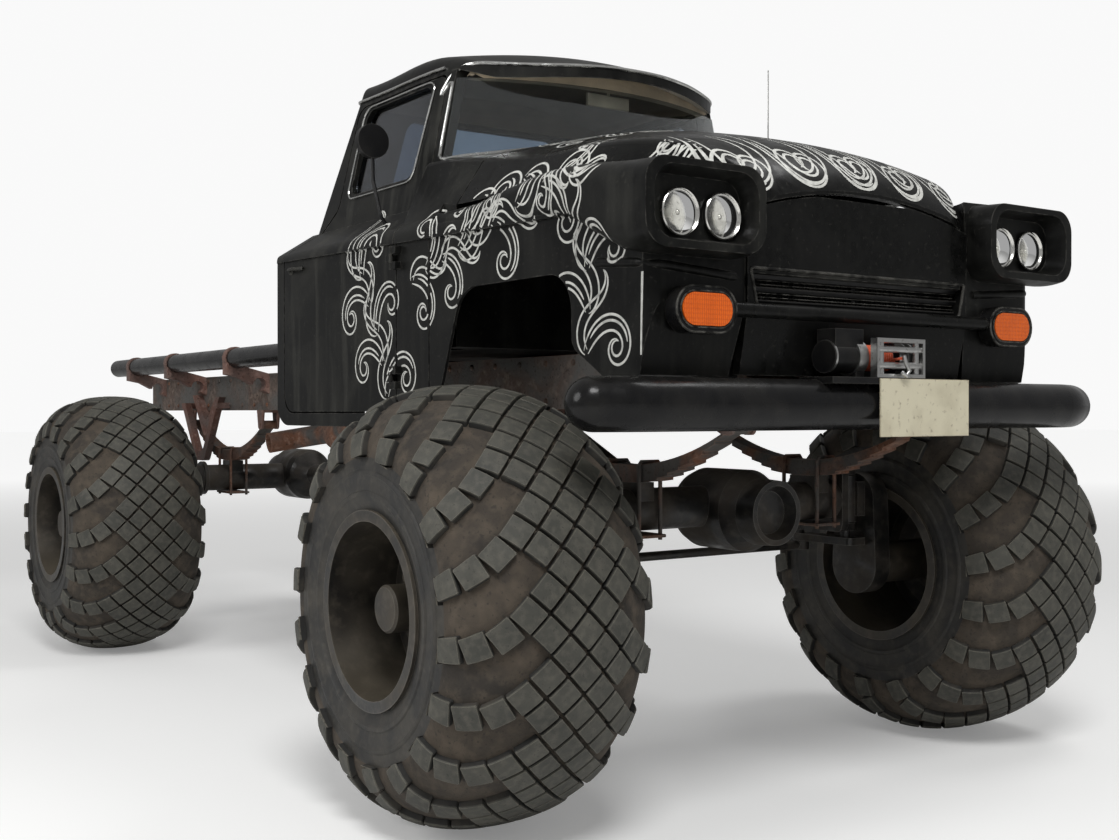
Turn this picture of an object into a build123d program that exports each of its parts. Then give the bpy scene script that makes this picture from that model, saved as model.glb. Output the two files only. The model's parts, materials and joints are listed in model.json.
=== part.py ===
"""Medium-duty truck: bare frame, hollow cab, portal axles on leaf springs, four wide flotation wheels.

Millimetres. +X is forward, +Y is left, +Z is up and z = 0 is the ground. Shapes are worked out with
x = 0 at the front axle, and every piece is moved forward by FRONT_AXLE_X when it is written, so that
the middle of the truck's length is the origin.
"""
import math
import os

from build123d import *

os.makedirs("parts", exist_ok=True)

# Overall layout
WHEELBASE = 3975.0
TRACK = 2363.0
NOSE_REACH = 845.0
TAIL_REACH = 5600.0
FRONT_AXLE_X = (TAIL_REACH - NOSE_REACH) / 2
RUN_CLEARANCE = 0.3
PANEL_GAP = 7.0

# Tyre and wheel
TYRE_RADIUS = 727.0
TYRE_HALF_WIDTH = 363.0
TYRE_CROWN_Y = 300.0
TYRE_CROWN_EDGE_R = 632.0
TYRE_SHOULDER_R = 491.0
RIM_SEAT_R = 300.0
RIM_WALL = 14.0
RIM_HALF_WIDTH = 352.0
RIM_LIP_R = 323.0
RIM_LIP_T = 12.0
BEAD_Y = RIM_HALF_WIDTH - RIM_LIP_T - RUN_CLEARANCE
DISC_Y = 130.0
DISC_THICKNESS = 16.0
HUB_TUBE_R = 86.0
HUB_FLANGE_R = 170.0
HUB_CAP_R = 78.0
HUB_CAP_Y = 287.0
WHEEL_BOLTS = 10
BOLT_CIRCLE_R = 142.0
BOLT_R = 14.0
SPINDLE_R = 48.0
SPINDLE_LENGTH = 100.0

# Axles
FRONT_TUBE_Z = 1005.0
REAR_TUBE_Z = 965.0
AXLE_TUBE_R = 78.0
DIFF_R = 155.0
PORTAL_IN_Y = 712.0
PORTAL_WIDTH = 88.0
PORTAL_TOP_R = 105.0
PORTAL_LOW_R = 118.0

# Steering
KINGPIN_Y = 660.0
KINGPIN_R = 20.0
YOKE_ARM_R = 42.0
YOKE_ARM_T = 30.0
YOKE_GAP_HALF = 100.0
KNUCKLE_POST_R = 46.0
STEER_ARM_LENGTH = 250.0
STEER_ARM_T = 30.0
ROD_R = 18.0
ROD_EYE_R = 32.0
ROD_STUD_R = 12.0

# Shafts
JOINT_REACH = 70.0
PINION_REACH = 330.0
TRANSFER_X = (-1620.0, -1180.0)
TRANSFER_OUT_Z = 1308.0

# Frame
RAIL_Y = 430.0
RAIL_WIDTH = 70.0
RAIL_LOW_Z = 1373.0
RAIL_DEPTH = 212.0
RAIL_WALL = 10.0
RAIL_FRONT_X = 612.0
RAIL_TAIL_X = -5460.0
CROSSMEMBERS = (520, -1680, -2500, -3300, -4450, -5380)   # x of each
LOAD_TUBE_R = 58.0
LOAD_TUBE_Y = 660.0
LOAD_TUBE_Z = 1667.0
LOAD_TUBE_FRONT_X = -2480.0
OUTRIGGERS = (-2540, -3400, -4420, -5200)                 # x of each
CLAMP_T = 8.0
V_BRACKET_X = -4290.0
SIDE_PIPE_R = 35.0
SIDE_PIPE_Y = 524.0
SIDE_PIPE_Z = 1520.0
SIDE_PIPE_ROOM = 5.0
BOLT_HOLE_R = 8.5
DECK_HOLES = (-2750, -3550, -4700, -5300)                 # x of each pair in the rails' top flanges
HITCH_SPACING = (160.0, 60.0)                             # y, z
SPRING_Y = 450.0
SPRING_WIDTH = 76.0
LEAF_COUNT = 7
LEAF_T = 9.0
SPRING_EYE_R = 24.0
SPRING_HALF = 560.0
FRONT_EYE_Z = 1312.0
REAR_EYE_Z = 1290.0
SPRING_EYES = ((-SPRING_HALF, FRONT_EYE_Z), (SPRING_HALF, FRONT_EYE_Z),
               (-WHEELBASE - SPRING_HALF, REAR_EYE_Z), (-WHEELBASE + SPRING_HALF, REAR_EYE_Z))

# Cab and body
BODY_HALF_WIDTH = 950.0
WIDE = BODY_HALF_WIDTH + 150
SILL_Z = 1300.0
SHOULDER_Z = 2085.0
CREASE_DEPTH = 14.0
BELT_Z = 2200.0
BELT_HALF_WIDTH = BODY_HALF_WIDTH - 145
CAB_REAR_X = -2155.0
CAB_CORNER_R = 64.0
CAB_REAR_BELT_X = -2015.0
CAB_REAR_ROOF_X = -1772.0
CAB_REAR_ROOF_Z = 2800.0
ROOF_CORNER_R = 90.0
ROOF_SECTIONS = (   # x, edge in from the belt, edge z, centre z
    (-2110, 125, 2790, 2845),
    (-1600, 115, 2860, 2915),
    (-1150, 115, 2862, 2930),
    (-850, 130, 2795, 2893),
    (-700, 155, 2735, 2845),
    (-500, 205, 2690, 2775),
)
COWL_X = -566.0
CAB_WALL = 45.0
FLOOR_Z = 1625.0
FLOOR_T = 40.0
DOOR_FRONT_X = -930.0
DOOR_REAR_X = -2045.0
DOOR_FRAME_LOW = (-1765.0, 2290.0)
DOOR_FRAME_TOP_X = -1695.0
DOOR_LOW_Z = 1365.0
SIDE_WINDOW = ((-1668, 2345), (-1612, 2728), (-1008, 2728), (-1090, 2345))
SIDE_WINDOW_RADII = (45, 60, 60, 60)
DOOR_TOP_Z = 2752.0
ROOF_SEAM_Z = 2768.0
PILLAR_FRONT_X = -872.0
GLASS_T = 6.0
SEAL_GAP = 0.3
FIREWALL_LOW_Z = 1612.0
BROW_X = -530.0
BROW_R = 860.0
BROW_REAR_X = PILLAR_FRONT_X + 2
BROW_LOW_Z = 2640.0
GLASS_BASE_X = -625.0
GLASS_TOP_X = -680.0
GLASS_R = 1400.0
GLASS_LOW_Z = 2380.0
GLASS_TOP_Z = 2730.0
FENDER_INNER_Y = BODY_HALF_WIDTH - 81
FENDER_REAR_X = -655.0
FENDER_FRONT_X = 690.0
FENDER_WALL = 26.0
FENDER_CROWN_Y = BODY_HALF_WIDTH - 150
FENDER_CROWN = (2200.0, 2138.0)   # at the fender's rear and front
NOSE_ARCH_Z = 2090.0
NOSE_ARCH_RISE = 88.0
PANEL_HALF_WIDTH = BODY_HALF_WIDTH - 390
HINGE_R = 9.0
HINGE_PIN_R = 4.0
HINGE_AT = (DOOR_FRONT_X + PANEL_GAP / 2, BODY_HALF_WIDTH + HINGE_R + 0.5)
HINGE_LEVELS = (1500.0, 1980.0)
HOOD_AXIS = (COWL_X + 3, 2488.0)
HOOD_HINGES = (-150.0, 150.0)
HOOD_CORNER_R = 55.0
HOOD_SECTIONS = (   # x, centre z, edge in from the body side, edge z, lower y in from the body side, lower z
    (-950, 2462, 150, 2378, 45, 2115),
    (-566, 2478, 208, 2348, 82, 2157),
    (0, 2430, 260, 2305, 175, 2188),
    (350, 2345, 310, 2280, 250, 2175),
    (570, 2262, 375, 2200, 332, 2105),
    (712, 2108, 520, 2062, 470, 2000),
)
POD_SECTIONS = (   # x, centre in from the body side, centre z, half width, half height, corner radius
    (-600, 65, 2085, 58, 40, 28),
    (0, 80, 2084, 96, 74, 44),
    (350, 100, 2068, 150, 92, 60),
    (560, 144, 2010, 215, 128, 75),
    (800, 156, 1985, 240, 135, 80),
)

# Front end
BUMPER_X = 748.0
BUMPER_Z = 1386.0
BUMPER_R = 83.0
BUMPER_HALF = 1175.0
LAMP_R = 68.0
LAMP_X = 744.0
LAMP_Z = 1968.0
LAMP_Y = BODY_HALF_WIDTH - 180
LAMP_SPREAD = 85.0
LAMP_BULGE = 14.0
SIGNAL_Y = BODY_HALF_WIDTH - 203
SIGNAL_Z = 1678.0
WINCH_Z = 1545.0
ANTENNA = (-706.0, 900.0, 2115.0, 2960.0)   # x, y, foot, tip


def box(x, y, z):
    """Block between (low, high) pairs."""
    size = (x[1] - x[0], y[1] - y[0], z[1] - z[0])
    return Pos((x[0] + x[1]) / 2, (y[0] + y[1]) / 2, (z[0] + z[1]) / 2) * Box(*size)


def outline(points, radii):
    """Closed face of straight runs with rounded corners."""
    if not isinstance(radii, (list, tuple)):
        radii = [radii] * len(points)
    return make_face(FilletPolyline(*points, radius=list(radii), close=True))


def side_prism(points, radii, y):
    """Outline given as (x, z), as deep as the pair y."""
    plane = Plane(origin=(0, y[1], 0), x_dir=(1, 0, 0), z_dir=(0, -1, 0))
    return extrude(plane * outline(points, radii), y[1] - y[0])


def front_prism(points, radii, x):
    """Outline given as (y, z), as long as the pair x."""
    plane = Plane(origin=(x[0], 0, 0), x_dir=(0, 1, 0), z_dir=(1, 0, 0))
    return extrude(plane * outline(points, radii), x[1] - x[0])


def plan_prism(points, radii, z):
    """Outline given as (x, y), as high as the pair z."""
    return extrude(Plane.XY.offset(z[0]) * outline(points, radii), z[1] - z[0])


def both_sides(half, radii):
    """Outline symmetric in y from its left half, listed from bottom to top."""
    points = [(y, z) for y, z in half] + [(-y, z) for y, z in reversed(half) if y != 0]
    return points, list(radii) + [r for (y, _), r in zip(reversed(half), reversed(radii)) if y != 0]


def rod(a, b, r):
    """Straight round bar from point a to point b."""
    start = Vector(*a)
    run = Vector(*b) - start
    return Plane(origin=start, z_dir=run.normalized()) * Cylinder(
        r, run.length, align=(Align.CENTER, Align.CENTER, Align.MIN))


def turned(points, axis_y):
    """Solid turned about the wheel's axis from (y, r) points."""
    wire = Polyline(*[(y, r) for y, r in points], close=True)
    face = Plane(origin=(0, axis_y, 0), x_dir=(0, 1, 0), z_dir=(1, 0, 0)) * make_face(wire)
    return revolve(face, Axis((0, 0, 0), (0, 1, 0)))


def mirrored(shape):
    return mirror(shape, about=Plane.XZ)


def pipe(points, radius, r):
    """Round bar along straight runs joined by tangent arcs."""
    path = FilletPolyline(*points, radius=radius)
    section = Plane(origin=path @ 0, z_dir=path % 0) * Circle(r)
    return sweep(section, path=path)


def write(name, *shapes):
    """Move the piece to the truck's frame and write it."""
    solids = [s for shape in shapes for s in shape.solids()]
    piece = Pos(FRONT_AXLE_X, 0, 0) * Compound(children=solids)
    piece.label = name
    export_step(piece, "parts/" + name + ".step")


# Wheels
def tyre_section():
    """Half-round flotation section as (y, r), out to the tips of its lugs."""
    crown = ThreePointArc((-TYRE_CROWN_Y, TYRE_CROWN_EDGE_R), (0, TYRE_RADIUS), (TYRE_CROWN_Y, TYRE_CROWN_EDGE_R))
    edges = [crown]
    for side in (1, -1):
        edges.append(ThreePointArc(
            (side * TYRE_CROWN_Y, TYRE_CROWN_EDGE_R), (side * (TYRE_HALF_WIDTH - 17), 565),
            (side * TYRE_HALF_WIDTH, TYRE_SHOULDER_R)))
        edges.append(Polyline(
            (side * TYRE_HALF_WIDTH, TYRE_SHOULDER_R), (side * (TYRE_HALF_WIDTH - 3), 400),
            (side * BEAD_Y, RIM_LIP_R + 10), (side * BEAD_Y, RIM_SEAT_R + RUN_CLEARANCE)))
    edges.append(Line((BEAD_Y, RIM_SEAT_R + RUN_CLEARANCE), (-BEAD_Y, RIM_SEAT_R + RUN_CLEARANCE)))
    return make_face(edges)


def tyre():
    face = Plane(origin=(0, 0, 0), x_dir=(0, 1, 0), z_dir=(1, 0, 0)) * tyre_section()
    return revolve(face, Axis((0, 0, 0), (0, 1, 0)))


def rim():
    """Deep wheel: rolled lips, barrel, dished disc, hub tube, flange, bolts and cap, for the left side."""
    half = RIM_HALF_WIDTH
    barrel_in = RIM_SEAT_R - RIM_WALL
    barrel = turned([
        (-half, RIM_LIP_R), (-half, barrel_in), (half, barrel_in), (half, RIM_LIP_R), (half - RIM_LIP_T, RIM_LIP_R),
        (half - RIM_LIP_T, RIM_SEAT_R), (RIM_LIP_T - half, RIM_SEAT_R), (RIM_LIP_T - half, RIM_LIP_R)], 0)
    disc = turned([
        (DISC_Y, 40), (DISC_Y + 0, 180), (DISC_Y - 35, 240), (DISC_Y - 35, barrel_in + 2),
        (DISC_Y - 35 - DISC_THICKNESS, barrel_in + 2), (DISC_Y - 35 - DISC_THICKNESS, 236),
        (DISC_Y - DISC_THICKNESS, 176), (DISC_Y - DISC_THICKNESS, 40)], 0)
    hub_in = PORTAL_IN_Y + PORTAL_WIDTH + 6 - TRACK / 2
    bore_end = hub_in + SPINDLE_LENGTH
    hub = turned([
        (hub_in, SPINDLE_R + RUN_CLEARANCE), (hub_in, HUB_TUBE_R), (DISC_Y - DISC_THICKNESS - 24, HUB_TUBE_R),
        (DISC_Y - DISC_THICKNESS - 24, HUB_FLANGE_R), (DISC_Y - DISC_THICKNESS, HUB_FLANGE_R),
        (DISC_Y - DISC_THICKNESS, HUB_CAP_R + 18), (DISC_Y + 30, HUB_CAP_R + 18), (DISC_Y + 40, HUB_CAP_R),
        (HUB_CAP_Y - 8, HUB_CAP_R), (HUB_CAP_Y, HUB_CAP_R - 8), (HUB_CAP_Y, 0), (bore_end, 0),
        (bore_end, SPINDLE_R + RUN_CLEARANCE)], 0)
    wheel = barrel + disc + hub
    for turn in range(WHEEL_BOLTS):
        angle = math.radians(360 / WHEEL_BOLTS * turn)
        x, z = BOLT_CIRCLE_R * math.cos(angle), BOLT_CIRCLE_R * math.sin(angle)
        wheel += rod((x, DISC_Y - DISC_THICKNESS - 10, z), (x, DISC_Y + 24, z), BOLT_R)
    return wheel


def portal_box(tube_z):
    """Drop gear case from the axle tube's height down to the wheel's centre, left side."""
    y = (PORTAL_IN_Y, PORTAL_IN_Y + PORTAL_WIDTH)
    top = rod((0, y[0], tube_z), (0, y[1], tube_z), PORTAL_TOP_R)
    low = rod((0, y[0], TYRE_RADIUS), (0, y[1], TYRE_RADIUS), PORTAL_LOW_R)
    web = side_prism([
        (-PORTAL_LOW_R, TYRE_RADIUS), (PORTAL_LOW_R, TYRE_RADIUS), (PORTAL_TOP_R, tube_z), (-PORTAL_TOP_R, tube_z)], 0, y)
    case = top + low + web
    return case + rod((0, y[1] - 10, TYRE_RADIUS), (0, y[1] + SPINDLE_LENGTH, TYRE_RADIUS), SPINDLE_R)


def diff_housing(z, nose):
    """Drum with its face forward (nose = -1) or rearward (nose = 1), and a pinion nose on the other side."""
    drum = Plane.XZ * make_face(Polyline(
        (nose * PINION_REACH, 0), (nose * PINION_REACH, 58), (nose * 230, 66), (nose * 150, DIFF_R - 15), (nose * 110, DIFF_R),
        (-nose * 130, DIFF_R), (-nose * 190, DIFF_R - 30), (-nose * 280, DIFF_R - 35), (-nose * 280, DIFF_R - 55),
        (-nose * 235, DIFF_R - 75), (-nose * 235, 0), close=True))
    return Pos(0, 0, z) * revolve(drum, Axis.X)


def front_axle():
    z = FRONT_TUBE_Z
    inner = KINGPIN_Y - 90
    housing = rod((0, -inner, z), (0, inner, z), AXLE_TUBE_R) + diff_housing(z - 15, -1)
    reach = YOKE_GAP_HALF + YOKE_ARM_T
    for side in (1, -1):
        web_y = sorted((side * (KINGPIN_Y - 100), side * (KINGPIN_Y - 64)))
        housing += side_prism([(-78, z - reach), (78, z - reach), (78, z + reach), (-78, z + reach)], 30, web_y)
        for low in (z - reach, z + YOKE_GAP_HALF):
            arm = box((-YOKE_ARM_R, YOKE_ARM_R), sorted((side * (KINGPIN_Y - 80), side * KINGPIN_Y)), (low, low + YOKE_ARM_T))
            arm += rod((0, side * KINGPIN_Y, low), (0, side * KINGPIN_Y, low + YOKE_ARM_T), YOKE_ARM_R)
            housing += arm
        housing -= rod((0, side * KINGPIN_Y, z - 300), (0, side * KINGPIN_Y, z + 300), KINGPIN_R + RUN_CLEARANCE)
        housing += spring_pad(side, z)
    return housing


def spring_pad(side, tube_z):
    """Saddle between the axle tube and the leaf spring."""
    y = side * SPRING_Y
    return box((-70, 70), (y - SPRING_WIDTH / 2, y + SPRING_WIDTH / 2), (tube_z + 20, tube_z + AXLE_TUBE_R + 25))


def knuckle():
    """Left steering knuckle: post on the kingpin, drop gear case, wheel spindle and steering arm."""
    z = FRONT_TUBE_Z
    gap = YOKE_GAP_HALF - 5
    post = rod((0, KINGPIN_Y, z - gap), (0, KINGPIN_Y, z + gap), KNUCKLE_POST_R)
    arm_top = z - YOKE_GAP_HALF - YOKE_ARM_T - 30
    pin = rod((0, KINGPIN_Y, arm_top - STEER_ARM_T), (0, KINGPIN_Y, z + YOKE_GAP_HALF + YOKE_ARM_T + 12), KINGPIN_R)
    cap = rod((0, KINGPIN_Y, z + YOKE_GAP_HALF + YOKE_ARM_T + 5), (0, KINGPIN_Y, z + YOKE_GAP_HALF + YOKE_ARM_T + 17), 32)
    link = box((-60, 60), (KINGPIN_Y + 10, PORTAL_IN_Y + 8), (z - 70, z + 70))
    arm = plan_prism([
        (-STEER_ARM_LENGTH - 34, KINGPIN_Y - 34), (-STEER_ARM_LENGTH - 34, KINGPIN_Y + 34),
        (-60, PORTAL_IN_Y + 8), (60, PORTAL_IN_Y + 8), (60, KINGPIN_Y - 40), (-60, KINGPIN_Y - 40)],
        [30, 30, 0, 0, 20, 30], (arm_top - STEER_ARM_T, arm_top))
    body = portal_box(z) + post + pin + cap + link + arm
    eye = (-STEER_ARM_LENGTH, KINGPIN_Y)
    return body - rod((*eye, arm_top - 100), (*eye, arm_top + 50), ROD_STUD_R + RUN_CLEARANCE)


def tie_rod():
    """Rod between both steering arms, with an upright stud at each end."""
    arm_low = FRONT_TUBE_Z - YOKE_GAP_HALF - YOKE_ARM_T - 30 - STEER_ARM_T
    rod_z = arm_low - 0.5 - 20
    bar = rod((-STEER_ARM_LENGTH, -KINGPIN_Y, rod_z), (-STEER_ARM_LENGTH, KINGPIN_Y, rod_z), ROD_R)
    for side in (1, -1):
        foot = (-STEER_ARM_LENGTH, side * KINGPIN_Y)
        bar += rod((*foot, rod_z - 20), (*foot, rod_z + 20), ROD_EYE_R)
        bar += rod((*foot, rod_z), (*foot, arm_low + STEER_ARM_T + 14), ROD_STUD_R)
    return bar


def rear_axle():
    z = REAR_TUBE_Z
    housing = rod((0, -PORTAL_IN_Y - 5, z), (0, PORTAL_IN_Y + 5, z), AXLE_TUBE_R) + diff_housing(z + 10, 1)
    case = portal_box(z)
    housing += case + mirrored(case)
    for side in (1, -1):
        housing += spring_pad(side, z)
        collar = side * (PORTAL_IN_Y - 70)
        housing += rod((0, collar - 10, z), (0, collar + 10, z), AXLE_TUBE_R + 22)
    return Pos(-WHEELBASE, 0, 0) * housing


# Springs and frame
def leaf_spring(eye_half, eye_z, seat_z):
    """Pack of arched leaves with an eye at both ends, centred at x = 0."""
    rise = eye_z - seat_z - LEAF_COUNT * LEAF_T
    radius = (eye_half ** 2 + rise ** 2) / (2 * rise)
    centre_z = eye_z + radius - rise
    y = (SPRING_Y - SPRING_WIDTH / 2, SPRING_Y + SPRING_WIDTH / 2)
    pack = None
    for leaf in range(LEAF_COUNT):
        inner = radius + leaf * LEAF_T
        half = eye_half * (1 - 0.78 * (leaf / LEAF_COUNT) ** 0.9)
        ring = rod((0, y[0], centre_z), (0, y[1], centre_z), inner + LEAF_T)
        ring -= rod((0, y[0] - 1, centre_z), (0, y[1] + 1, centre_z), inner)
        ring &= box((-half, half), y, (seat_z - 5, eye_z + 40))
        pack = ring if pack is None else pack + ring
    for end in (-eye_half, eye_half):
        pack += rod((end, y[0], eye_z), (end, y[1], eye_z), SPRING_EYE_R)
        pack -= rod((end, y[0] - 1, eye_z), (end, y[1] + 1, eye_z), 12)
    return pack


def spring_hanger(x, eye_z):
    """Cheeks and pin that hold one spring eye under the rail."""
    y = (SPRING_Y - SPRING_WIDTH / 2 - 3, SPRING_Y + SPRING_WIDTH / 2 + 3)
    hanger = box((x - 45, x + 45), (y[0] - 12, y[1] + 12), (RAIL_LOW_Z - 14, RAIL_LOW_Z))
    for low in (y[0] - 12, y[1]):
        hanger += side_prism([
            (x - 45, RAIL_LOW_Z - 5), (x + 45, RAIL_LOW_Z - 5), (x + 26, eye_z - 26), (x - 26, eye_z - 26)],
            [0, 0, 20, 20], (low, low + 12))
    return hanger + rod((x, y[0] - 16, eye_z), (x, y[1] + 16, eye_z), 12 - RUN_CLEARANCE)


def rail():
    """Left frame channel, open towards the middle."""
    inner, outer = RAIL_Y - RAIL_WIDTH / 2, RAIL_Y + RAIL_WIDTH / 2
    top = RAIL_LOW_Z + RAIL_DEPTH
    channel = side_prism([
        (RAIL_TAIL_X, RAIL_LOW_Z + 40), (RAIL_TAIL_X + 160, RAIL_LOW_Z), (RAIL_FRONT_X - 60, RAIL_LOW_Z),
        (RAIL_FRONT_X, RAIL_LOW_Z + 40), (RAIL_FRONT_X, top), (RAIL_TAIL_X, top)], 0, (inner, outer))
    channel -= box((RAIL_TAIL_X - 1, RAIL_FRONT_X + 1), (inner - 1, outer - RAIL_WALL),
                   (RAIL_LOW_Z + RAIL_WALL + 42, top - RAIL_WALL))
    for x in DECK_HOLES:
        channel -= rod((x, RAIL_Y, top - 40), (x, RAIL_Y, top + 10), BOLT_HOLE_R)
    return channel


def crossmember(x):
    """Channel between both rails, let into them up to their webs."""
    reach = RAIL_Y + RAIL_WIDTH / 2 - RAIL_WALL
    top = RAIL_LOW_Z + RAIL_DEPTH - RAIL_WALL
    return box((x - 30, x + 30), (-reach, reach), (top - 110, top)) - box(
        (x - 22, x + 40), (-reach - 1, reach + 1), (top - 100, top - 10))


def outrigger(x):
    """Arm from the left rail's outer face, with a cradle and a clamp round the long tube."""
    face, end = RAIL_Y + RAIL_WIDTH / 2, LOAD_TUBE_Y + LOAD_TUBE_R
    low = LOAD_TUBE_Z - LOAD_TUBE_R
    arm = front_prism([
        (face, low - 140), (face, low - 26), (LOAD_TUBE_Y - 60, low + 8), (LOAD_TUBE_Y - 60, low + 36),
        (end, low + 36), (end, low - 34), (end - 80, low - 50)], 0, (x - 35, x + 35))
    centre = (LOAD_TUBE_Y, LOAD_TUBE_Z)
    arm += rod((x - 22, *centre), (x + 22, *centre), LOAD_TUBE_R + CLAMP_T)
    arm -= pipe_room((x - 50, x + 50))
    return arm - rod((x - 50, *centre), (x + 50, *centre), LOAD_TUBE_R + RUN_CLEARANCE)


def pipe_room(x):
    """Round way past the left side pipe between the pair x."""
    return rod((x[0], SIDE_PIPE_Y, SIDE_PIPE_Z), (x[1], SIDE_PIPE_Y, SIDE_PIPE_Z), SIDE_PIPE_R + SIDE_PIPE_ROOM)


def tube_foot():
    """Sloped box from the front outrigger to the cab, in front of the left long tube."""
    x = (LOAD_TUBE_FRONT_X + RUN_CLEARANCE, CAB_REAR_X - 20)
    y = (LOAD_TUBE_Y - 45, LOAD_TUBE_Y + 45)
    foot = side_prism([
        (x[0], LOAD_TUBE_Z - 60), (x[0], LOAD_TUBE_Z + 30), (x[0] + 120, LOAD_TUBE_Z + 95), (x[1], LOAD_TUBE_Z + 95),
        (x[1], LOAD_TUBE_Z - 60)], 0, y)
    arm = box((x[0] + 20, x[0] + 80), (RAIL_Y + RAIL_WIDTH / 2, y[1]), (LOAD_TUBE_Z - 130, LOAD_TUBE_Z - 60))
    return foot + arm - pipe_room(x)


def pipe_hanger(x):
    """Ring and tab that carry the left side pipe on the rail's outer face."""
    face = RAIL_Y + RAIL_WIDTH / 2
    centre = (SIDE_PIPE_Y, SIDE_PIPE_Z)
    ring = rod((x - 12, *centre), (x + 12, *centre), SIDE_PIPE_R + CLAMP_T)
    ring += box((x - 12, x + 12), (face, SIDE_PIPE_Y), (SIDE_PIPE_Z - 20, SIDE_PIPE_Z + 20))
    return ring - rod((x - 20, *centre), (x + 20, *centre), SIDE_PIPE_R + RUN_CLEARANCE)


def hitch_member():
    """Rear crossmember with the hitch's four bolt holes through its web."""
    member = crossmember(CROSSMEMBERS[-1])
    top = RAIL_LOW_Z + RAIL_DEPTH - RAIL_WALL
    for y in (-HITCH_SPACING[0] / 2, HITCH_SPACING[0] / 2):
        for z in (-HITCH_SPACING[1] / 2, HITCH_SPACING[1] / 2):
            x = CROSSMEMBERS[-1]
            member -= rod((x - 50, y, top - 55 + z), (x, y, top - 55 + z), BOLT_HOLE_R)
    return member


def v_bracket():
    """Pressed rear bracket: two nested V straps hung from the left rail's outer face."""
    x, face = V_BRACKET_X, RAIL_Y + RAIL_WIDTH / 2
    out = SPRING_Y + SPRING_WIDTH / 2 + 19
    low_v = side_prism([
        (x - 330, 1420), (x - 270, 1420), (x - 50, 1120), (x + 50, 1120), (x + 250, 1420), (x + 310, 1420),
        (x + 75, 1060), (x - 75, 1060)], [0, 0, 60, 60, 0, 0, 50, 50], (out, out + 40))
    for low in (x - 330, x + 250):
        low_v += box((low, low + 60), (face, out + 40), (1385, 1420))
    high_v = side_prism([
        (x - 240, 1470), (x - 170, 1470), (x, 1300), (x + 170, 1455), (x + 235, 1455), (x + 40, 1215),
        (x - 40, 1215)], [0, 0, 40, 0, 0, 40, 40], (face, out))
    return low_v + high_v


# Cab
def cab_form(inset):
    """Closed form of the cab's lower body and greenhouse, moved inward by inset."""
    side = BODY_HALF_WIDTH - inset
    belt_y, belt_z = BELT_HALF_WIDTH - inset, BELT_Z - inset * 0.4
    points, radii = both_sides([(side, SILL_Z - 10 - inset), (side, SHOULDER_Z), (belt_y, belt_z)], [0, 70, 0])
    lower = front_prism(points, radii, (CAB_REAR_X + inset, COWL_X))
    lower &= side_prism([
        (CAB_REAR_X + inset, SILL_Z - inset), (CAB_REAR_X + inset, SHOULDER_Z + 10),
        (CAB_REAR_BELT_X + inset, belt_z), (COWL_X, belt_z), (COWL_X, SILL_Z - inset)],
        [150 - inset, 60, 0, 0, 0], (-WIDE, WIDE))
    corner = CAB_CORNER_R - inset
    lower &= plan_prism([
        (CAB_REAR_X + inset, -side), (CAB_REAR_X + inset, side), (COWL_X, side), (COWL_X, -side)],
        [corner, corner, 0, 0], (1000, 3000))

    base = belt_z - 10
    faces = []
    for x, edge_in, edge_z, centre_z in ROOF_SECTIONS:
        edge = (belt_y - edge_in, edge_z - inset)
        section = make_face([
            ThreePointArc((-edge[0], edge[1]), (0, centre_z - inset), edge), Line(edge, (belt_y, base)),
            Line((belt_y, base), (-belt_y, base)), Line((-belt_y, base), (-edge[0], edge[1]))])
        section = fillet([v for v in section.vertices() if v.Y > base + 100], ROOF_CORNER_R - inset)
        faces.append(Plane(origin=(x, 0, 0), x_dir=(0, 1, 0), z_dir=(1, 0, 0)) * section)
    upper = loft(faces) & rear_wrap(inset) & side_prism([
        (-2300, base), (CAB_REAR_ROOF_X - 200, CAB_REAR_ROOF_Z - 200), (-1745 + inset, 2880 - inset),
        (-1400, 2970), (-400, 2970), (-400, base)], [0, 0, 110, 0, 0, 0], (-WIDE, WIDE))
    return lower + upper


def rear_wrap(inset):
    """Everything in front of the leaning rear of the greenhouse, round at both rear corners."""
    lean = (CAB_REAR_ROOF_X - CAB_REAR_BELT_X) / (CAB_REAR_ROOF_Z - BELT_Z)
    rings = []
    for z, spare in ((2100.0, 10.0), (3000.0, 10.0)):
        rear = CAB_REAR_BELT_X + lean * (z - BELT_Z) + inset
        half = BELT_HALF_WIDTH - (z - BELT_Z) * 0.175 - inset + spare
        points = [(rear, -half), (rear, half), (-300, half), (-300, -half)]
        rings.append(Plane.XY.offset(z) * outline(points, [110 - inset, 110 - inset, 0, 0]))
    return loft(rings, ruled=True)


def side_recess():
    """Shallow step along the left side below the shoulder, falling towards the lamps."""
    return side_prism([
        (-2400, 1000), (-2400, 2076), (300, 2006), (470, 1935), (900, 1800), (900, 1000)],
        [0, 0, 200, 200, 0, 0], (BODY_HALF_WIDTH - CREASE_DEPTH, WIDE))


def arc_region(front_x, radius, z):
    """Everything behind an arc in plan whose foremost point is front_x."""
    disc = Pos(front_x - radius, 0, z[0]) * Cylinder(radius, z[1] - z[0], align=(Align.CENTER, Align.CENTER, Align.MIN))
    return disc + box((front_x - radius - 3000, front_x - radius), (-radius, radius), z)


def glass_region(grow):
    """Everything behind the leaning, curved windshield, from below the sill to above the roof."""
    lean = (GLASS_TOP_X - GLASS_BASE_X) / (GLASS_TOP_Z - GLASS_LOW_Z)
    low, high = 1900.0, 2950.0
    start = GLASS_BASE_X + grow + lean * (low - GLASS_LOW_Z)
    face = Plane.XY.offset(low) * (Pos(start - GLASS_R, 0) * Circle(GLASS_R))
    return extrude(face, amount=high - low, dir=(lean, 0, 1))


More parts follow.
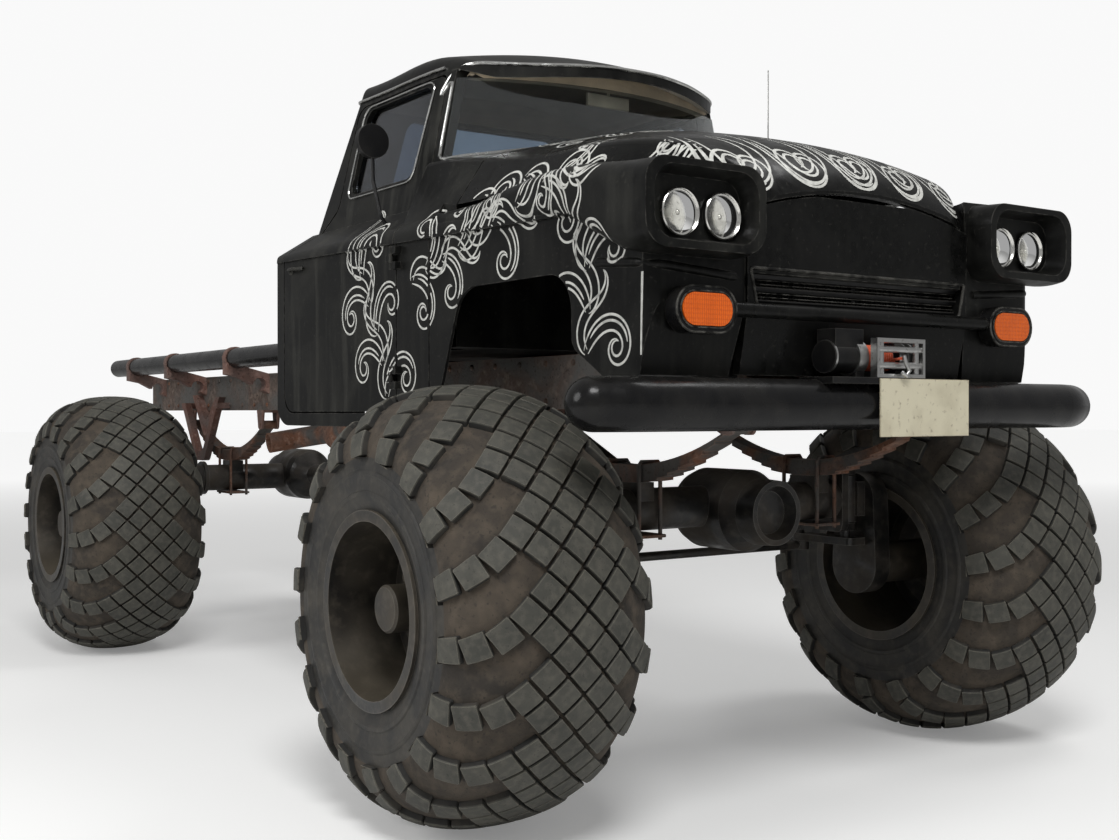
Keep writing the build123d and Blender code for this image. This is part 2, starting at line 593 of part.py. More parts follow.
def door_prism(grow):
    """Side outline of the door, larger by grow."""
    frame_x, frame_z = DOOR_FRAME_LOW
    return [
        (DOOR_REAR_X - grow, DOOR_LOW_Z - grow), (DOOR_REAR_X - grow, SHOULDER_Z + 25), (frame_x - grow, frame_z + grow),
        (DOOR_FRAME_TOP_X - grow, DOOR_TOP_Z + grow), (DOOR_FRONT_X + grow, DOOR_TOP_Z + grow),
        (DOOR_FRONT_X + grow, DOOR_LOW_Z - grow)], [90, 50, 80, 70, 40, 50]


def window_prism(shrink):
    ways = ((1, 1), (1, -1), (-1, -1), (-1, 1))
    points = [(x + shrink * along, z + shrink * up) for (x, z), (along, up) in zip(SIDE_WINDOW, ways)]
    return side_prism(points, SIDE_WINDOW_RADII, (BELT_HALF_WIDTH - 205, WIDE))


def hood_form(inset, drop=0.0):
    """Closed form of hood and cowl from a few sections, moved inward by inset.

    drop lengthens the flanks downward by that share.
    """
    faces = []
    for x, centre_z, edge_in, edge_z, lower_in, lower_z in HOOD_SECTIONS:
        edge_y, lower_y = BODY_HALF_WIDTH - edge_in, BODY_HALF_WIDTH - lower_in
        lower_y, lower_z = lower_y + (lower_y - edge_y) * drop, lower_z + (lower_z - edge_z) * drop
        low, edge = (lower_y - inset, lower_z - inset * 3), (edge_y - inset, edge_z - inset)
        section = make_face([
            ThreePointArc((-edge[0], edge[1]), (0, centre_z - inset), edge), Line(edge, low),
            Line(low, (-low[0], low[1])), Line((-low[0], low[1]), (-edge[0], edge[1]))])
        section = fillet([v for v in section.vertices() if v.Y > edge[1] - 1], HOOD_CORNER_R)
        plane = Plane(origin=(x - inset * (x > 600), 0, 0), x_dir=(0, 1, 0), z_dir=(1, 0, 0))
        faces.append(plane * section)
    return loft(faces)


def nose_arch(grow):
    """Round region below the arched joint of hood nose and front panel."""
    radius = (PANEL_HALF_WIDTH ** 2 + NOSE_ARCH_RISE ** 2) / (2 * NOSE_ARCH_RISE)
    return rod((600, 0, NOSE_ARCH_Z - radius), (900, 0, NOSE_ARCH_Z - radius), radius + grow)


def cab_shell():
    """Lower body, floor, firewall, rear wall, pillars and cowl in one piece."""
    outer = cab_form(0)
    cavity = cab_form(CAB_WALL)
    inside = BODY_HALF_WIDTH - 10
    shell = outer - cavity
    shell -= box((-3000, COWL_X + 500), (-WIDE, WIDE), (ROOF_SEAM_Z, 3000))
    shell -= box((PILLAR_FRONT_X, 500), (-WIDE, WIDE), (BELT_Z - 20, 3000))
    lined = cab_form(CAB_WALL - 5)
    shell += lined & box((CAB_REAR_X, COWL_X - 6), (-inside, inside), (FLOOR_Z, FLOOR_Z + FLOOR_T))
    shell += lined & box((COWL_X - 50, COWL_X), (-inside, inside), (FIREWALL_LOW_Z, BELT_Z - 12))
    cowl = hood_form(0, 0.35) & box((PILLAR_FRONT_X - 60, COWL_X), (-WIDE, WIDE), (SHOULDER_Z - 25, 2600))
    cowl -= hood_form(34, 0.35) & box((-2200, COWL_X - 40), (-WIDE, WIDE), (1900, 2600))
    cowl -= glass_region(0) & box((-2200, 0), (-WIDE, WIDE), (GLASS_LOW_Z - 2, 2700))
    shell += cowl
    tunnel = RAIL_Y + RAIL_WIDTH / 2 + 20
    shell -= box((-3000, -1500), (-tunnel, tunnel), (1000, RAIL_LOW_Z + RAIL_DEPTH + 15))
    shell -= side_recess()
    shell -= mirrored(side_recess())
    for side in (1, -1):
        points, radii = door_prism(PANEL_GAP)
        shell -= side_prism(points, radii, sorted((side * (BELT_HALF_WIDTH - 205), side * WIDE)))
        shell -= box((FENDER_REAR_X - PANEL_GAP, 0), sorted((side * FENDER_INNER_Y, side * WIDE)), (1000, 3000))
    return shell - rear_window_prism(0)


def roof_region():
    """Side outline of what belongs to the roof: above the seam, and lower under the brow."""
    return side_prism([
        (-2300, ROOF_SEAM_Z), (BROW_REAR_X, ROOF_SEAM_Z), (BROW_X + 10, BROW_LOW_Z), (-200, BROW_LOW_Z),
        (-200, 3100), (-2300, 3100)], 0, (-WIDE, WIDE))


def roof():
    """Roof skin with its drooping brow, and the header that the windshield stands under."""
    skin = (cab_form(0) - cab_form(CAB_WALL)) & roof_region() & arc_region(BROW_X, BROW_R, (2000, 3100))
    header = (glass_region(0) - glass_region(-CAB_WALL)) & cab_form(CAB_WALL - 5)
    header &= box((PILLAR_FRONT_X + PANEL_GAP, 0), (-WIDE, WIDE), (GLASS_TOP_Z, 3100))
    return skin + header


def windshield():
    band = (glass_region(0) - glass_region(-GLASS_T)) & cab_form(2) & box(
        (PILLAR_FRONT_X + 1, 0), (-WIDE, WIDE), (GLASS_LOW_Z - 1, GLASS_TOP_Z - SEAL_GAP))
    return band


def rear_window_prism(shrink):
    low, high = 2362 + shrink, 2745 - shrink
    return front_prism([(shrink - 462, low), (462 - shrink, low), (430 - shrink, high), (shrink - 430, high)],
                       60, (-2250, -1650))


def rear_window():
    return (cab_form(20) - cab_form(20 + GLASS_T)) & rear_window_prism(SEAL_GAP)


def door():
    """Left door: hollow-framed skin with its window cut through, and two hinge barrels."""
    points, radii = door_prism(0)
    leaf = (cab_form(0) - cab_form(CAB_WALL)) & side_prism(points, radii, (BELT_HALF_WIDTH - 205, WIDE))
    leaf -= side_recess()
    leaf -= window_prism(0)
    foot = BODY_HALF_WIDTH - CREASE_DEPTH - 6
    for z in HINGE_LEVELS:
        leaf += rod((*HINGE_AT, z - 14), (*HINGE_AT, z + 14), HINGE_R)
        leaf += box((DOOR_FRONT_X - 36, HINGE_AT[0]), (foot, HINGE_AT[1] + 4), (z - 14, z + 14))
        leaf -= rod((*HINGE_AT, z - 60), (*HINGE_AT, z + 60), HINGE_PIN_R + RUN_CLEARANCE)
    return leaf


def door_hinge_seat():
    """Fixed halves of the left door's hinges, with their pins."""
    seats = None
    foot = BODY_HALF_WIDTH - CREASE_DEPTH - 6
    for z in HINGE_LEVELS:
        seat = rod((*HINGE_AT, z - 46), (*HINGE_AT, z + 46), HINGE_PIN_R)
        for low in (z - 46, z + 16):
            seat += rod((*HINGE_AT, low), (*HINGE_AT, low + 30), HINGE_R)
            seat += box((HINGE_AT[0], HINGE_AT[0] + 40), (foot, HINGE_AT[1] + 4), (low, low + 30))
        seats = seat if seats is None else seats + seat
    return seats


def door_glass():
    """Left side glass, sealed in the door's window."""
    skin = cab_form(20) - cab_form(20 + GLASS_T)
    return skin & window_prism(SEAL_GAP)


# Front body
ARCH = ([(-700, 1250), (-590, 1400), (-420, 1822), (285, 1822), (290, 1575), (460, 1476), (460, 1250)],
        [0, 60, 150, 130, 60, 30, 0])


def fender_form(inset):
    """Closed form of the left fender, its crown falling towards the lamps, moved inward by inset."""
    side = BODY_HALF_WIDTH - inset
    inner = PANEL_HALF_WIDTH - 20 + inset
    faces = []
    for x, crown in zip((FENDER_REAR_X - inset, FENDER_FRONT_X - inset), FENDER_CROWN):
        drop = FENDER_CROWN[0] - crown
        points = [(inner, 1250), (inner, crown - 6 - inset), (FENDER_CROWN_Y, crown - inset),
                  (side, SHOULDER_Z - drop), (side, 1250)]
        plane = Plane(origin=(x, 0, 0), x_dir=(0, 1, 0), z_dir=(1, 0, 0))
        faces.append(plane * outline(points, [0, 0, 40, 60, 0]))
    profile = side_prism([
        (FENDER_REAR_X - inset, 1303), (FENDER_REAR_X - inset, 2300), (FENDER_FRONT_X - 60 - inset, 2300),
        (FENDER_FRONT_X - inset, 2090), (FENDER_FRONT_X - inset, 1700), (FENDER_FRONT_X - 40 - inset, 1476), (-400, 1303)],
        0, (0, WIDE))
    plan = plan_prism([
        (FENDER_REAR_X - inset, 0), (FENDER_FRONT_X - inset, 0), (FENDER_FRONT_X - inset, side),
        (FENDER_REAR_X - inset, side)], [0, 0, 70, 0], (1000, 2400))
    return loft(faces, ruled=True) & profile & plan


def pod_form():
    faces = []
    for x, inward, z, half_y, half_z, corner in POD_SECTIONS:
        plane = Plane(origin=(x, BODY_HALF_WIDTH - inward, z), x_dir=(0, 1, 0), z_dir=(1, 0, 0))
        faces.append(plane * RectangleRounded(2 * half_y, 2 * half_z, corner))
    return loft(faces)


def pod_recess():
    """Hooded mouth of the lamp pod, as deep as the lamps sit."""
    mouth = Plane(origin=(LAMP_X - 14, LAMP_Y + 18, LAMP_Z + 18), x_dir=(0, 1, 0), z_dir=(1, 0, 0)) * RectangleRounded(372, 190, 70)
    rim_face = Plane(origin=(850, LAMP_Y + 24, LAMP_Z + 20), x_dir=(0, 1, 0), z_dir=(1, 0, 0)) * RectangleRounded(450, 246, 80)
    return loft([mouth, rim_face])


def fender():
    """Left front fender with its lamp pod and wheel arch."""
    shell = fender_form(0) - fender_form(FENDER_WALL) - side_recess()
    shell -= box((-600, FENDER_FRONT_X - 60), (500, BODY_HALF_WIDTH - 60), (1200, 1700))
    arch_points, arch_radii = ARCH
    shell -= side_prism(arch_points, arch_radii, (400, WIDE))
    shell += pod_form() - under_pod()
    shell += ledge()
    shell -= pod_recess()
    shell -= hood_bay()
    shell -= signal_cup(6)
    for spot in (-1, 1):
        seat = (LAMP_Y + spot * LAMP_SPREAD, LAMP_Z)
        shell -= rod((LAMP_X - 40, *seat), (LAMP_X + 5, *seat), LAMP_R + SEAL_GAP)
    return shell


def under_pod():
    """What the pod leaves free below the crease on the fender's side."""
    return side_recess() & box((-700, 420), (0, WIDE), (1000, 2200))


def ledge():
    """Raised bead below the pod, round the fender's front corner."""
    y, x = BODY_HALF_WIDTH - CREASE_DEPTH - 4, FENDER_FRONT_X - 4
    return pipe([(430, y, 1838), (x, y, 1816), (x, PANEL_HALF_WIDTH + 25, 1792)], 64, 15)


def hood_bay():
    """Upright region between the fenders' inner edges, a gap wider than the hood."""
    side = Spline(*[(row[0], BODY_HALF_WIDTH - row[4] + 2 * PANEL_GAP) for row in HOOD_SECTIONS[:-1]],
                  (FENDER_FRONT_X, PANEL_HALF_WIDTH - 20))
    ends = Polyline(side @ 1, (900, PANEL_HALF_WIDTH - 20), (900, 0), (HOOD_SECTIONS[0][0], 0), side @ 0)
    return extrude(Plane.XY.offset(1200) * make_face([side, ends]), 1200)


def lamp(y):
    """Sealed lamp: domed lens in front of its shallow bowl."""
    back, edge, front = LAMP_X - 40, LAMP_X, LAMP_X + LAMP_BULGE
    dome = (LAMP_R ** 2 + LAMP_BULGE ** 2) / (2 * LAMP_BULGE)
    half = LAMP_R * 0.5
    middle = (front - dome + math.sqrt(dome ** 2 - half ** 2), half)
    profile = Plane.XY * make_face([
        Polyline((front, 0), (back, 0), (back, LAMP_R), (edge, LAMP_R)),
        ThreePointArc((edge, LAMP_R), middle, (front, 0))])
    return Pos(0, y, LAMP_Z) * revolve(profile, Axis.X)


def stadium(x, width, height):
    plane = Plane(origin=(x, SIGNAL_Y, SIGNAL_Z), x_dir=(0, 1, 0), z_dir=(1, 0, 0))
    return plane * RectangleRounded(width, height, height / 2 - 1)


def signal_cup(grow):
    return extrude(stadium(FENDER_FRONT_X - 60, 200 + 2 * grow, 100 + 2 * grow), 200)


def signal():
    """Stadium bezel with its lens, left side."""
    bezel = extrude(stadium(FENDER_FRONT_X, 250, 148), 52) - extrude(stadium(FENDER_FRONT_X - 5, 202, 102), 70)
    lens = extrude(stadium(FENDER_FRONT_X - 30, 201, 101), 88)
    return bezel, lens


def hood():
    panel = hood_form(0) & box((COWL_X + 6, 900), (-WIDE, WIDE), (1950, 2700))
    panel -= hood_form(30)
    panel -= nose_arch(PANEL_GAP)
    for y in HOOD_HINGES:
        panel += rod((HOOD_AXIS[0], y - 14, HOOD_AXIS[1]), (HOOD_AXIS[0], y + 14, HOOD_AXIS[1]), HINGE_R)
        panel += box((HOOD_AXIS[0], COWL_X + 60), (y - 14, y + 14), (HOOD_AXIS[1] - 32, HOOD_AXIS[1] - 2))
        panel -= rod((HOOD_AXIS[0], y - 60, HOOD_AXIS[1]), (HOOD_AXIS[0], y + 60, HOOD_AXIS[1]), HINGE_PIN_R + RUN_CLEARANCE)
    return panel


def hood_hinge_seats():
    seats = None
    for y in HOOD_HINGES:
        seat = rod((HOOD_AXIS[0], y - 46, HOOD_AXIS[1]), (HOOD_AXIS[0], y + 46, HOOD_AXIS[1]), HINGE_PIN_R)
        for low in (y - 46, y + 16):
            seat += rod((HOOD_AXIS[0], low, HOOD_AXIS[1]), (HOOD_AXIS[0], low + 30, HOOD_AXIS[1]), HINGE_R)
            seat += box((HOOD_AXIS[0] - 44, HOOD_AXIS[0]), (low, low + 30), (HOOD_AXIS[1] - 32, HOOD_AXIS[1] - 2))
        seats = seat if seats is None else seats + seat
    return seats


def front_panel():
    """Panel between the fenders, with the grille opening and the valance."""
    panel = side_prism([
        (660, 1482), (700, 1690), (700, 1840), (708, 2075), (672, 2075), (664, 1840), (664, 1690), (630, 1482)],
        [0, 30, 0, 0, 0, 0, 30, 0], (-PANEL_HALF_WIDTH - 22, PANEL_HALF_WIDTH + 22))
    panel -= box((600, 720), (PANEL_HALF_WIDTH - 20.5, 700), (1400, 2200))
    panel -= box((600, 720), (-700, 20.5 - PANEL_HALF_WIDTH), (1400, 2200))
    panel &= nose_arch(0)
    return panel - front_prism([(-500, 1702), (500, 1702), (530, 1826), (-530, 1826)], 12, (600, 760))


def grille():
    """Cross bars and end posts set in the opening."""
    bars = None
    for z in (1722, 1764, 1806):
        bar = side_prism([(640, z - 9), (668, z - 13), (676, z + 4), (640, z + 9)], [0, 4, 4, 0], (-536, 536))
        bars = bar if bars is None else bars + bar
    for y in (-536, -10, 516):
        bars += box((634, 650), (y, y + 20), (1696, 1834))
    return bars - front_panel()


def lower_bar():
    """Rounded bar that joins the two signal bezels below the grille."""
    return rod((716, -SIGNAL_Y + 128, SIGNAL_Z + 8), (716, SIGNAL_Y - 128, SIGNAL_Z + 8), 24)


# Front gear
def bumper():
    bend = BUMPER_HALF - 130
    tube = pipe([(BUMPER_X - 45, -BUMPER_HALF + 20, BUMPER_Z), (BUMPER_X, -bend, BUMPER_Z), (BUMPER_X, bend, BUMPER_Z),
                 (BUMPER_X - 45, BUMPER_HALF - 20, BUMPER_Z)], 200, BUMPER_R)
    for side in (1, -1):
        tube += Pos(BUMPER_X - 45, side * (BUMPER_HALF - 20), BUMPER_Z) * Sphere(BUMPER_R)
        y = sorted((side * (RAIL_Y - 30), side * (RAIL_Y + 30)))
        tube += box((RAIL_FRONT_X, BUMPER_X), y, (RAIL_LOW_Z + 42, RAIL_LOW_Z + 92))
    tube += box((BUMPER_X - 56, BUMPER_X + 92), (-300, 150), (BUMPER_Z + BUMPER_R - 14, BUMPER_Z + BUMPER_R + 8))
    return tube


def winch():
    """Motor, drum and gear end on feet, and a roller fairlead in front."""
    x = BUMPER_X - 6
    deck = BUMPER_Z + BUMPER_R + 8
    body = rod((x, -240, WINCH_Z), (x, -130, WINCH_Z), 54) + rod((x, -130, WINCH_Z), (x, -90, WINCH_Z), 60)
    body += box((x - 38, x + 45), (-232, -100), (WINCH_Z + 30, WINCH_Z + 92))
    body += rod((x, -90, WINCH_Z), (x, 62, WINCH_Z), 34)
    body += rod((x, 62, WINCH_Z), (x, 100, WINCH_Z), 60) + rod((x, 100, WINCH_Z), (x, 146, WINCH_Z), 48)
    for y in (-130, 62):
        body += box((x - 40, x + 40), (y, y + 38), (deck, WINCH_Z))
    frame_x = (BUMPER_X + 64, BUMPER_X + 92)
    lead = box(frame_x, (-92, 146), (deck, deck + 12)) + box(frame_x, (-92, 146), (1594, 1608))
    for low in (-92, 134):
        lead += box(frame_x, (low, low + 12), (deck, 1608))
    roller_x = BUMPER_X + 78
    for z in (1518, 1572):
        lead += rod((roller_x, -90, z), (roller_x, 140, z), 11)
    for y in (-60, 114):
        lead += rod((roller_x + 0, y, deck), (roller_x, y, 1600), 10)
    return body, lead


def number_plate():
    plate = box((NOSE_REACH - 5, NOSE_REACH), (-80, 370), (1280, 1474))
    tab = box((BUMPER_X + 60, NOSE_REACH - 4), (100, 190), (1375, 1397))
    return plate + (tab - rod((BUMPER_X, 0, BUMPER_Z), (BUMPER_X, 400, BUMPER_Z), BUMPER_R))


# Power train
def engine():
    block = box((-430, 430), (-230, 230), (1500, 1960))
    sump = box((-380, 300), (-150, 150), (1330, 1510))
    return block + sump + box((-400, 400), (-120, 120), (1950, 2060))


def gearbox():
    case = rod((-560, 0, 1500), (-430, 0, 1500), 170) & box((-600, -400), (-200, 200), (1300, 1600))
    case += rod((-1150, 0, 1470), (-550, 0, 1490), 105)
    case += box(TRANSFER_X, (-190, 170), (1240, 1560)) + rod((-1190, 0, 1470), (-1140, 0, 1470), 90)
    return case


def driveshaft(a, b):
    """Tube between two joints, each with a flange on the face that it is bolted to."""
    shaft = rod(a, b, 36)
    for joint, way in ((a, 1 if a[0] > b[0] else -1), (b, -1 if a[0] > b[0] else 1)):
        shaft += Pos(*joint) * Sphere(48)
        shaft += rod(joint, (joint[0] + way * JOINT_REACH, joint[1], joint[2]), 40)
    return shaft


def exhaust():
    """Down pipe, silencer and outward tail on the right, and an open side pipe along each rail."""
    down = pipe([(-700, -300, 1420), (-1000, -300, 1300), (-1500, -300, 1250), (-2200, -300, 1250)], 120, 32)
    can = rod((-2200, -300, 1250), (-2800, -300, 1250), 95)
    tail = pipe([(-2790, -300, 1250), (-3000, -300, 1240), (-3130, -400, 1215), (-3150, -560, 1190)], 80, 56)
    tail -= rod((-3150, -565, 1189), (-3142, -480, 1203), 49)
    pieces = [down + can + tail]
    for side in (1, -1):
        y = side * SIDE_PIPE_Y
        run = rod((-2900, y, SIDE_PIPE_Z), (CAB_REAR_X - SIDE_PIPE_ROOM, y, SIDE_PIPE_Z), SIDE_PIPE_R)
        pieces.append(run - rod((-2901, y, SIDE_PIPE_Z), (-2600, y, SIDE_PIPE_Z), SIDE_PIPE_R - 5))
    return pieces


def load_tube():
    """Left long tube outside the rail, open at its rear end."""
    ends = (-TAIL_REACH, LOAD_TUBE_FRONT_X)
    tube = rod((ends[0], LOAD_TUBE_Y, LOAD_TUBE_Z), (ends[1], LOAD_TUBE_Y, LOAD_TUBE_Z), LOAD_TUBE_R)
    return tube - rod((ends[0] - 1, LOAD_TUBE_Y, LOAD_TUBE_Z), (ends[0] + 300, LOAD_TUBE_Y, LOAD_TUBE_Z), LOAD_TUBE_R - 9)


# Cab fittings
def seat():
    """Bench: cushion and backrest as two plain pads."""
    low, joint = FLOOR_Z + FLOOR_T + SEAL_GAP, -1725
    cushion = side_prism([(joint, low), (-1200, low), (-1160, 1900), (joint, 1860)], [0, 0, 50, 10], (-720, 720))
    joint -= SEAL_GAP
    back = side_prism([(-1850, low), (joint, low), (joint, 1850), (-1790, 2330), (-1890, 2330)],
                      [0, 0, 20, 30, 30], (-720, 720))
    return cushion, back


def dash():
    return side_prism([(-655, 1980), (-655, 2170), (-780, 2172), (-820, 2120), (-760, 1980)], [0, 0, 30, 30, 30], (-760, 760))


def steering_wheel():
    """Ring, hub and column, leaning towards the driver."""
    lean = Plane(origin=(-1080, 380, 2235), z_dir=(-0.62, 0, 0.78))
    ring = lean * Torus(200, 14)
    spokes = lean * (Box(390, 26, 12) + Box(26, 390, 12) + Cylinder(45, 40))
    column_end = Vector(-1080, 380, 2235) + Vector(0.62, 0, -0.78) * 330
    column = rod((-1080, 380, 2235), tuple(column_end), 24)
    return ring + spokes + column


def side_mirror():
    """Round mirror on an arm from the left door."""
    head = rod((-1215, 905, 2500), (-1185, 905, 2500), 72)
    arm = pipe([(-1200, 905, 2500), (-1190, 905, 2330), (-1150, 890, 2180), (-1150, 860, 2140)], 30, 8)
    return (head + arm) - cab_form(0)


def interior_mirror():
    stem = rod((-745, 0, 2780), (-760, 0, 2700), 6)
    return stem + side_prism([(-768, 2672), (-752, 2672), (-752, 2728), (-768, 2728)], 6, (-110, 110))


def antenna():
    x, y, low, high = ANTENNA
    return (rod((x, y, low), (x, y, low + 55), 12) + rod((x, y, low), (x, y, high), 3)) - cab_form(0) - hood_form(0, 0.35)


def frame_brackets():
    pieces = [crossmember(x) for x in CROSSMEMBERS[:-1]] + [hitch_member()]
    for x, eye_z in SPRING_EYES:
        hanger = spring_hanger(x, eye_z)
        pieces += [hanger, mirrored(hanger)]
    for arm in [outrigger(x) for x in OUTRIGGERS] + [tube_foot()] + [pipe_hanger(x) for x in (-2300, -2760)]:
        pieces += [arm, mirrored(arm)]
    pieces += [v_bracket(), mirrored(v_bracket())]
    return pieces


def build():
    left_tyre, left_rim = tyre(), rim()
    right_rim = mirrored(left_rim)
    for x, end in ((0.0, "front"), (-WHEELBASE, "rear")):
        for side, name in ((1, "left"), (-1, "right")):
            at = Pos(x, side * TRACK / 2, TYRE_RADIUS)
            write("tyre_" + end + "_" + name, at * left_tyre)
            write("rim_" + end + "_" + name, at * (left_rim if side > 0 else right_rim))
    write("front_axle", front_axle())
    write("rear_axle", rear_axle())
    left_knuckle = knuckle()
    write("knuckle_left", left_knuckle)
    write("knuckle_right", mirrored(left_knuckle))
    write("tie_rod", tie_rod())

    front_spring = leaf_spring(SPRING_HALF, FRONT_EYE_Z, FRONT_TUBE_Z + AXLE_TUBE_R + 25)
    rear_spring = Pos(-WHEELBASE, 0, 0) * leaf_spring(SPRING_HALF, REAR_EYE_Z, REAR_TUBE_Z + AXLE_TUBE_R + 25)
    write("leaf_springs", front_spring, mirrored(front_spring), rear_spring, mirrored(rear_spring))
    left_rail = rail()
    write("frame_rails", left_rail, mirrored(left_rail))
    write("frame_brackets", *frame_brackets())
    left_tube = load_tube()
    write("load_tubes", left_tube, mirrored(left_tube))

    write("cab_shell", cab_shell() + door_hinge_seat() + mirrored(door_hinge_seat()) + hood_hinge_seats())
    write("cab_roof", roof())
    write("windshield", windshield())
    write("rear_window", rear_window())
    left_door, left_glass, left_mirror = door(), door_glass(), side_mirror()
    for name, flip in (("left", False), ("right", True)):
        write("door_" + name, mirrored(left_door) if flip else left_door)
        write("door_glass_" + name, mirrored(left_glass) if flip else left_glass)
        write("mirror_" + name, mirrored(left_mirror) if flip else left_mirror)
    left_fender = fender()
    write("fender_left", left_fender)
    write("fender_right", mirrored(left_fender))
    write("hood", hood())
    write("front_panel", front_panel() + lower_bar())
    write("grille", grille())
    lamps = [lamp(side * (LAMP_Y + spot * LAMP_SPREAD)) for side in (1, -1) for spot in (-1, 1)]
    write("headlights", *lamps)
    bezel, lens = signal()
    write("signal_bezels", bezel, mirrored(bezel))
    write("signal_lenses", lens, mirrored(lens))

    write("bumper", bumper())
    write("winch", *winch())
    write("number_plate", number_plate())
    write("engine", engine())
    write("gearbox", gearbox())
    front_shaft = driveshaft((-PINION_REACH - JOINT_REACH, 0, FRONT_TUBE_Z - 15),
                             (TRANSFER_X[1] + JOINT_REACH, 0, TRANSFER_OUT_Z))
    rear_shaft = driveshaft((TRANSFER_X[0] - JOINT_REACH, 0, TRANSFER_OUT_Z),
                            (PINION_REACH + JOINT_REACH - WHEELBASE, 0, REAR_TUBE_Z + 10))
    write("driveshafts", front_shaft, rear_shaft)
    write("exhaust", *exhaust())
    cushion, back = seat()
    write("seat", cushion, back)
    write("dash", dash())
    write("steering_wheel", steering_wheel())
    write("interior_mirror", interior_mirror())
    write("antenna", antenna())


build()
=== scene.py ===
"""Looks of the medium-duty truck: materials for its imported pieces, treaded tyres, lamps, trim and lines.

Metres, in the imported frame: +X forward, +Y left, +Z up, the ground at z = 0. at(x, y, z) takes x from the
front axle, which is how the truck's own sizes are given.
"""
import json
import math
import random

import bpy
import numpy as np
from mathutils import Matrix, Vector
from mathutils.bvhtree import BVHTree

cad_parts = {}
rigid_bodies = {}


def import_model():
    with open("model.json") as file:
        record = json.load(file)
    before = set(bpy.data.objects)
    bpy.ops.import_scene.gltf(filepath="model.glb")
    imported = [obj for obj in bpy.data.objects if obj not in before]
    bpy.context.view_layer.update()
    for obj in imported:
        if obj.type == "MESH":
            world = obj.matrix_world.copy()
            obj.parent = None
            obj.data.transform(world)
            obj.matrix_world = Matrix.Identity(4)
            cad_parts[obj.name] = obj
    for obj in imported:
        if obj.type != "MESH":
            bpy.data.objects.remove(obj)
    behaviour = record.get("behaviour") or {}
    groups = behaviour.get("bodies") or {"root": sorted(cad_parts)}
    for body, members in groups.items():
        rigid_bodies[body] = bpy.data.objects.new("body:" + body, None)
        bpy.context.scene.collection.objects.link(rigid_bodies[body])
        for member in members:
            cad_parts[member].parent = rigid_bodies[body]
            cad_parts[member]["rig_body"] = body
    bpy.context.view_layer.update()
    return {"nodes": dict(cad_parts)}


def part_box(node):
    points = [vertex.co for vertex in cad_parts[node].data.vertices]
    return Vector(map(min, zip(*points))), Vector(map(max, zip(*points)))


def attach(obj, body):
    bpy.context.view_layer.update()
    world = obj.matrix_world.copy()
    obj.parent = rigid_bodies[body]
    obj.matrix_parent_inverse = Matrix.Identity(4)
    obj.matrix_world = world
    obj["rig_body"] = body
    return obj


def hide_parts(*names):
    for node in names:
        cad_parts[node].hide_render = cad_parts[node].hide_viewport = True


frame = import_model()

NODES = frame["nodes"]


def centre(node):
    low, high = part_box(node)
    return (low + high) / 2


AXLE_X = centre("tyre_front_left").x
REAR_X = centre("tyre_rear_left").x
WHEEL_Y = centre("tyre_front_left").y
WHEEL_Z = centre("tyre_front_left").z
SIDES = (("left", 1), ("right", -1))

# Sizes of the truck: x from the front axle, the tyre's radii from its own axle
LUG_H = 0.024
TYRE_HALF = 0.349
TYRE_R = 0.703
SHOULDER_R = 0.491
LAMP = {"x": 0.744, "y": 0.770, "z": 1.968, "r": 0.068, "spread": 0.085}
SIGNAL = {"x": 0.748, "y": 0.747, "z": 1.678}
WINDSHIELD_ARC = {"x": -0.625, "r": 1.4}
BROW_ARC = {"x": -0.53, "r": 0.86}
WINCH = {"x": 0.742, "z": 1.545}
FAIRLEAD_X = 0.826
RAIL_FACE_Y = 0.4655
SPRING_Y = 0.45
SPRING_AXLE_Z = {"front": 1.005, "rear": 0.965}
HEADLINER_FRONT_X = -0.9
# How lines lie on the body, and the angle past which an edge is sharp
PAINT_LIFT = 0.0008
LINE_WIDTH = 0.0085
LINE_STEP = 0.012
SHARP_ANGLE = math.radians(38)


def at(x, y, z):
    return Vector((x + AXLE_X, y, z))


# Meshes
def new_object(name, verts, faces, materials, indices=None, smooth=True):
    mesh = bpy.data.meshes.new(name)
    mesh.from_pydata([tuple(v) for v in verts], [], [tuple(f) for f in faces])
    for material in materials:
        mesh.materials.append(material)
    if indices is not None:
        mesh.polygons.foreach_set("material_index", list(indices))
    mesh.polygons.foreach_set("use_smooth", [smooth] * len(faces))
    mesh.update()
    if smooth:
        mesh.set_sharp_from_angle(angle=SHARP_ANGLE)
    piece = bpy.data.objects.new(name, mesh)
    bpy.context.scene.collection.objects.link(piece)
    return piece


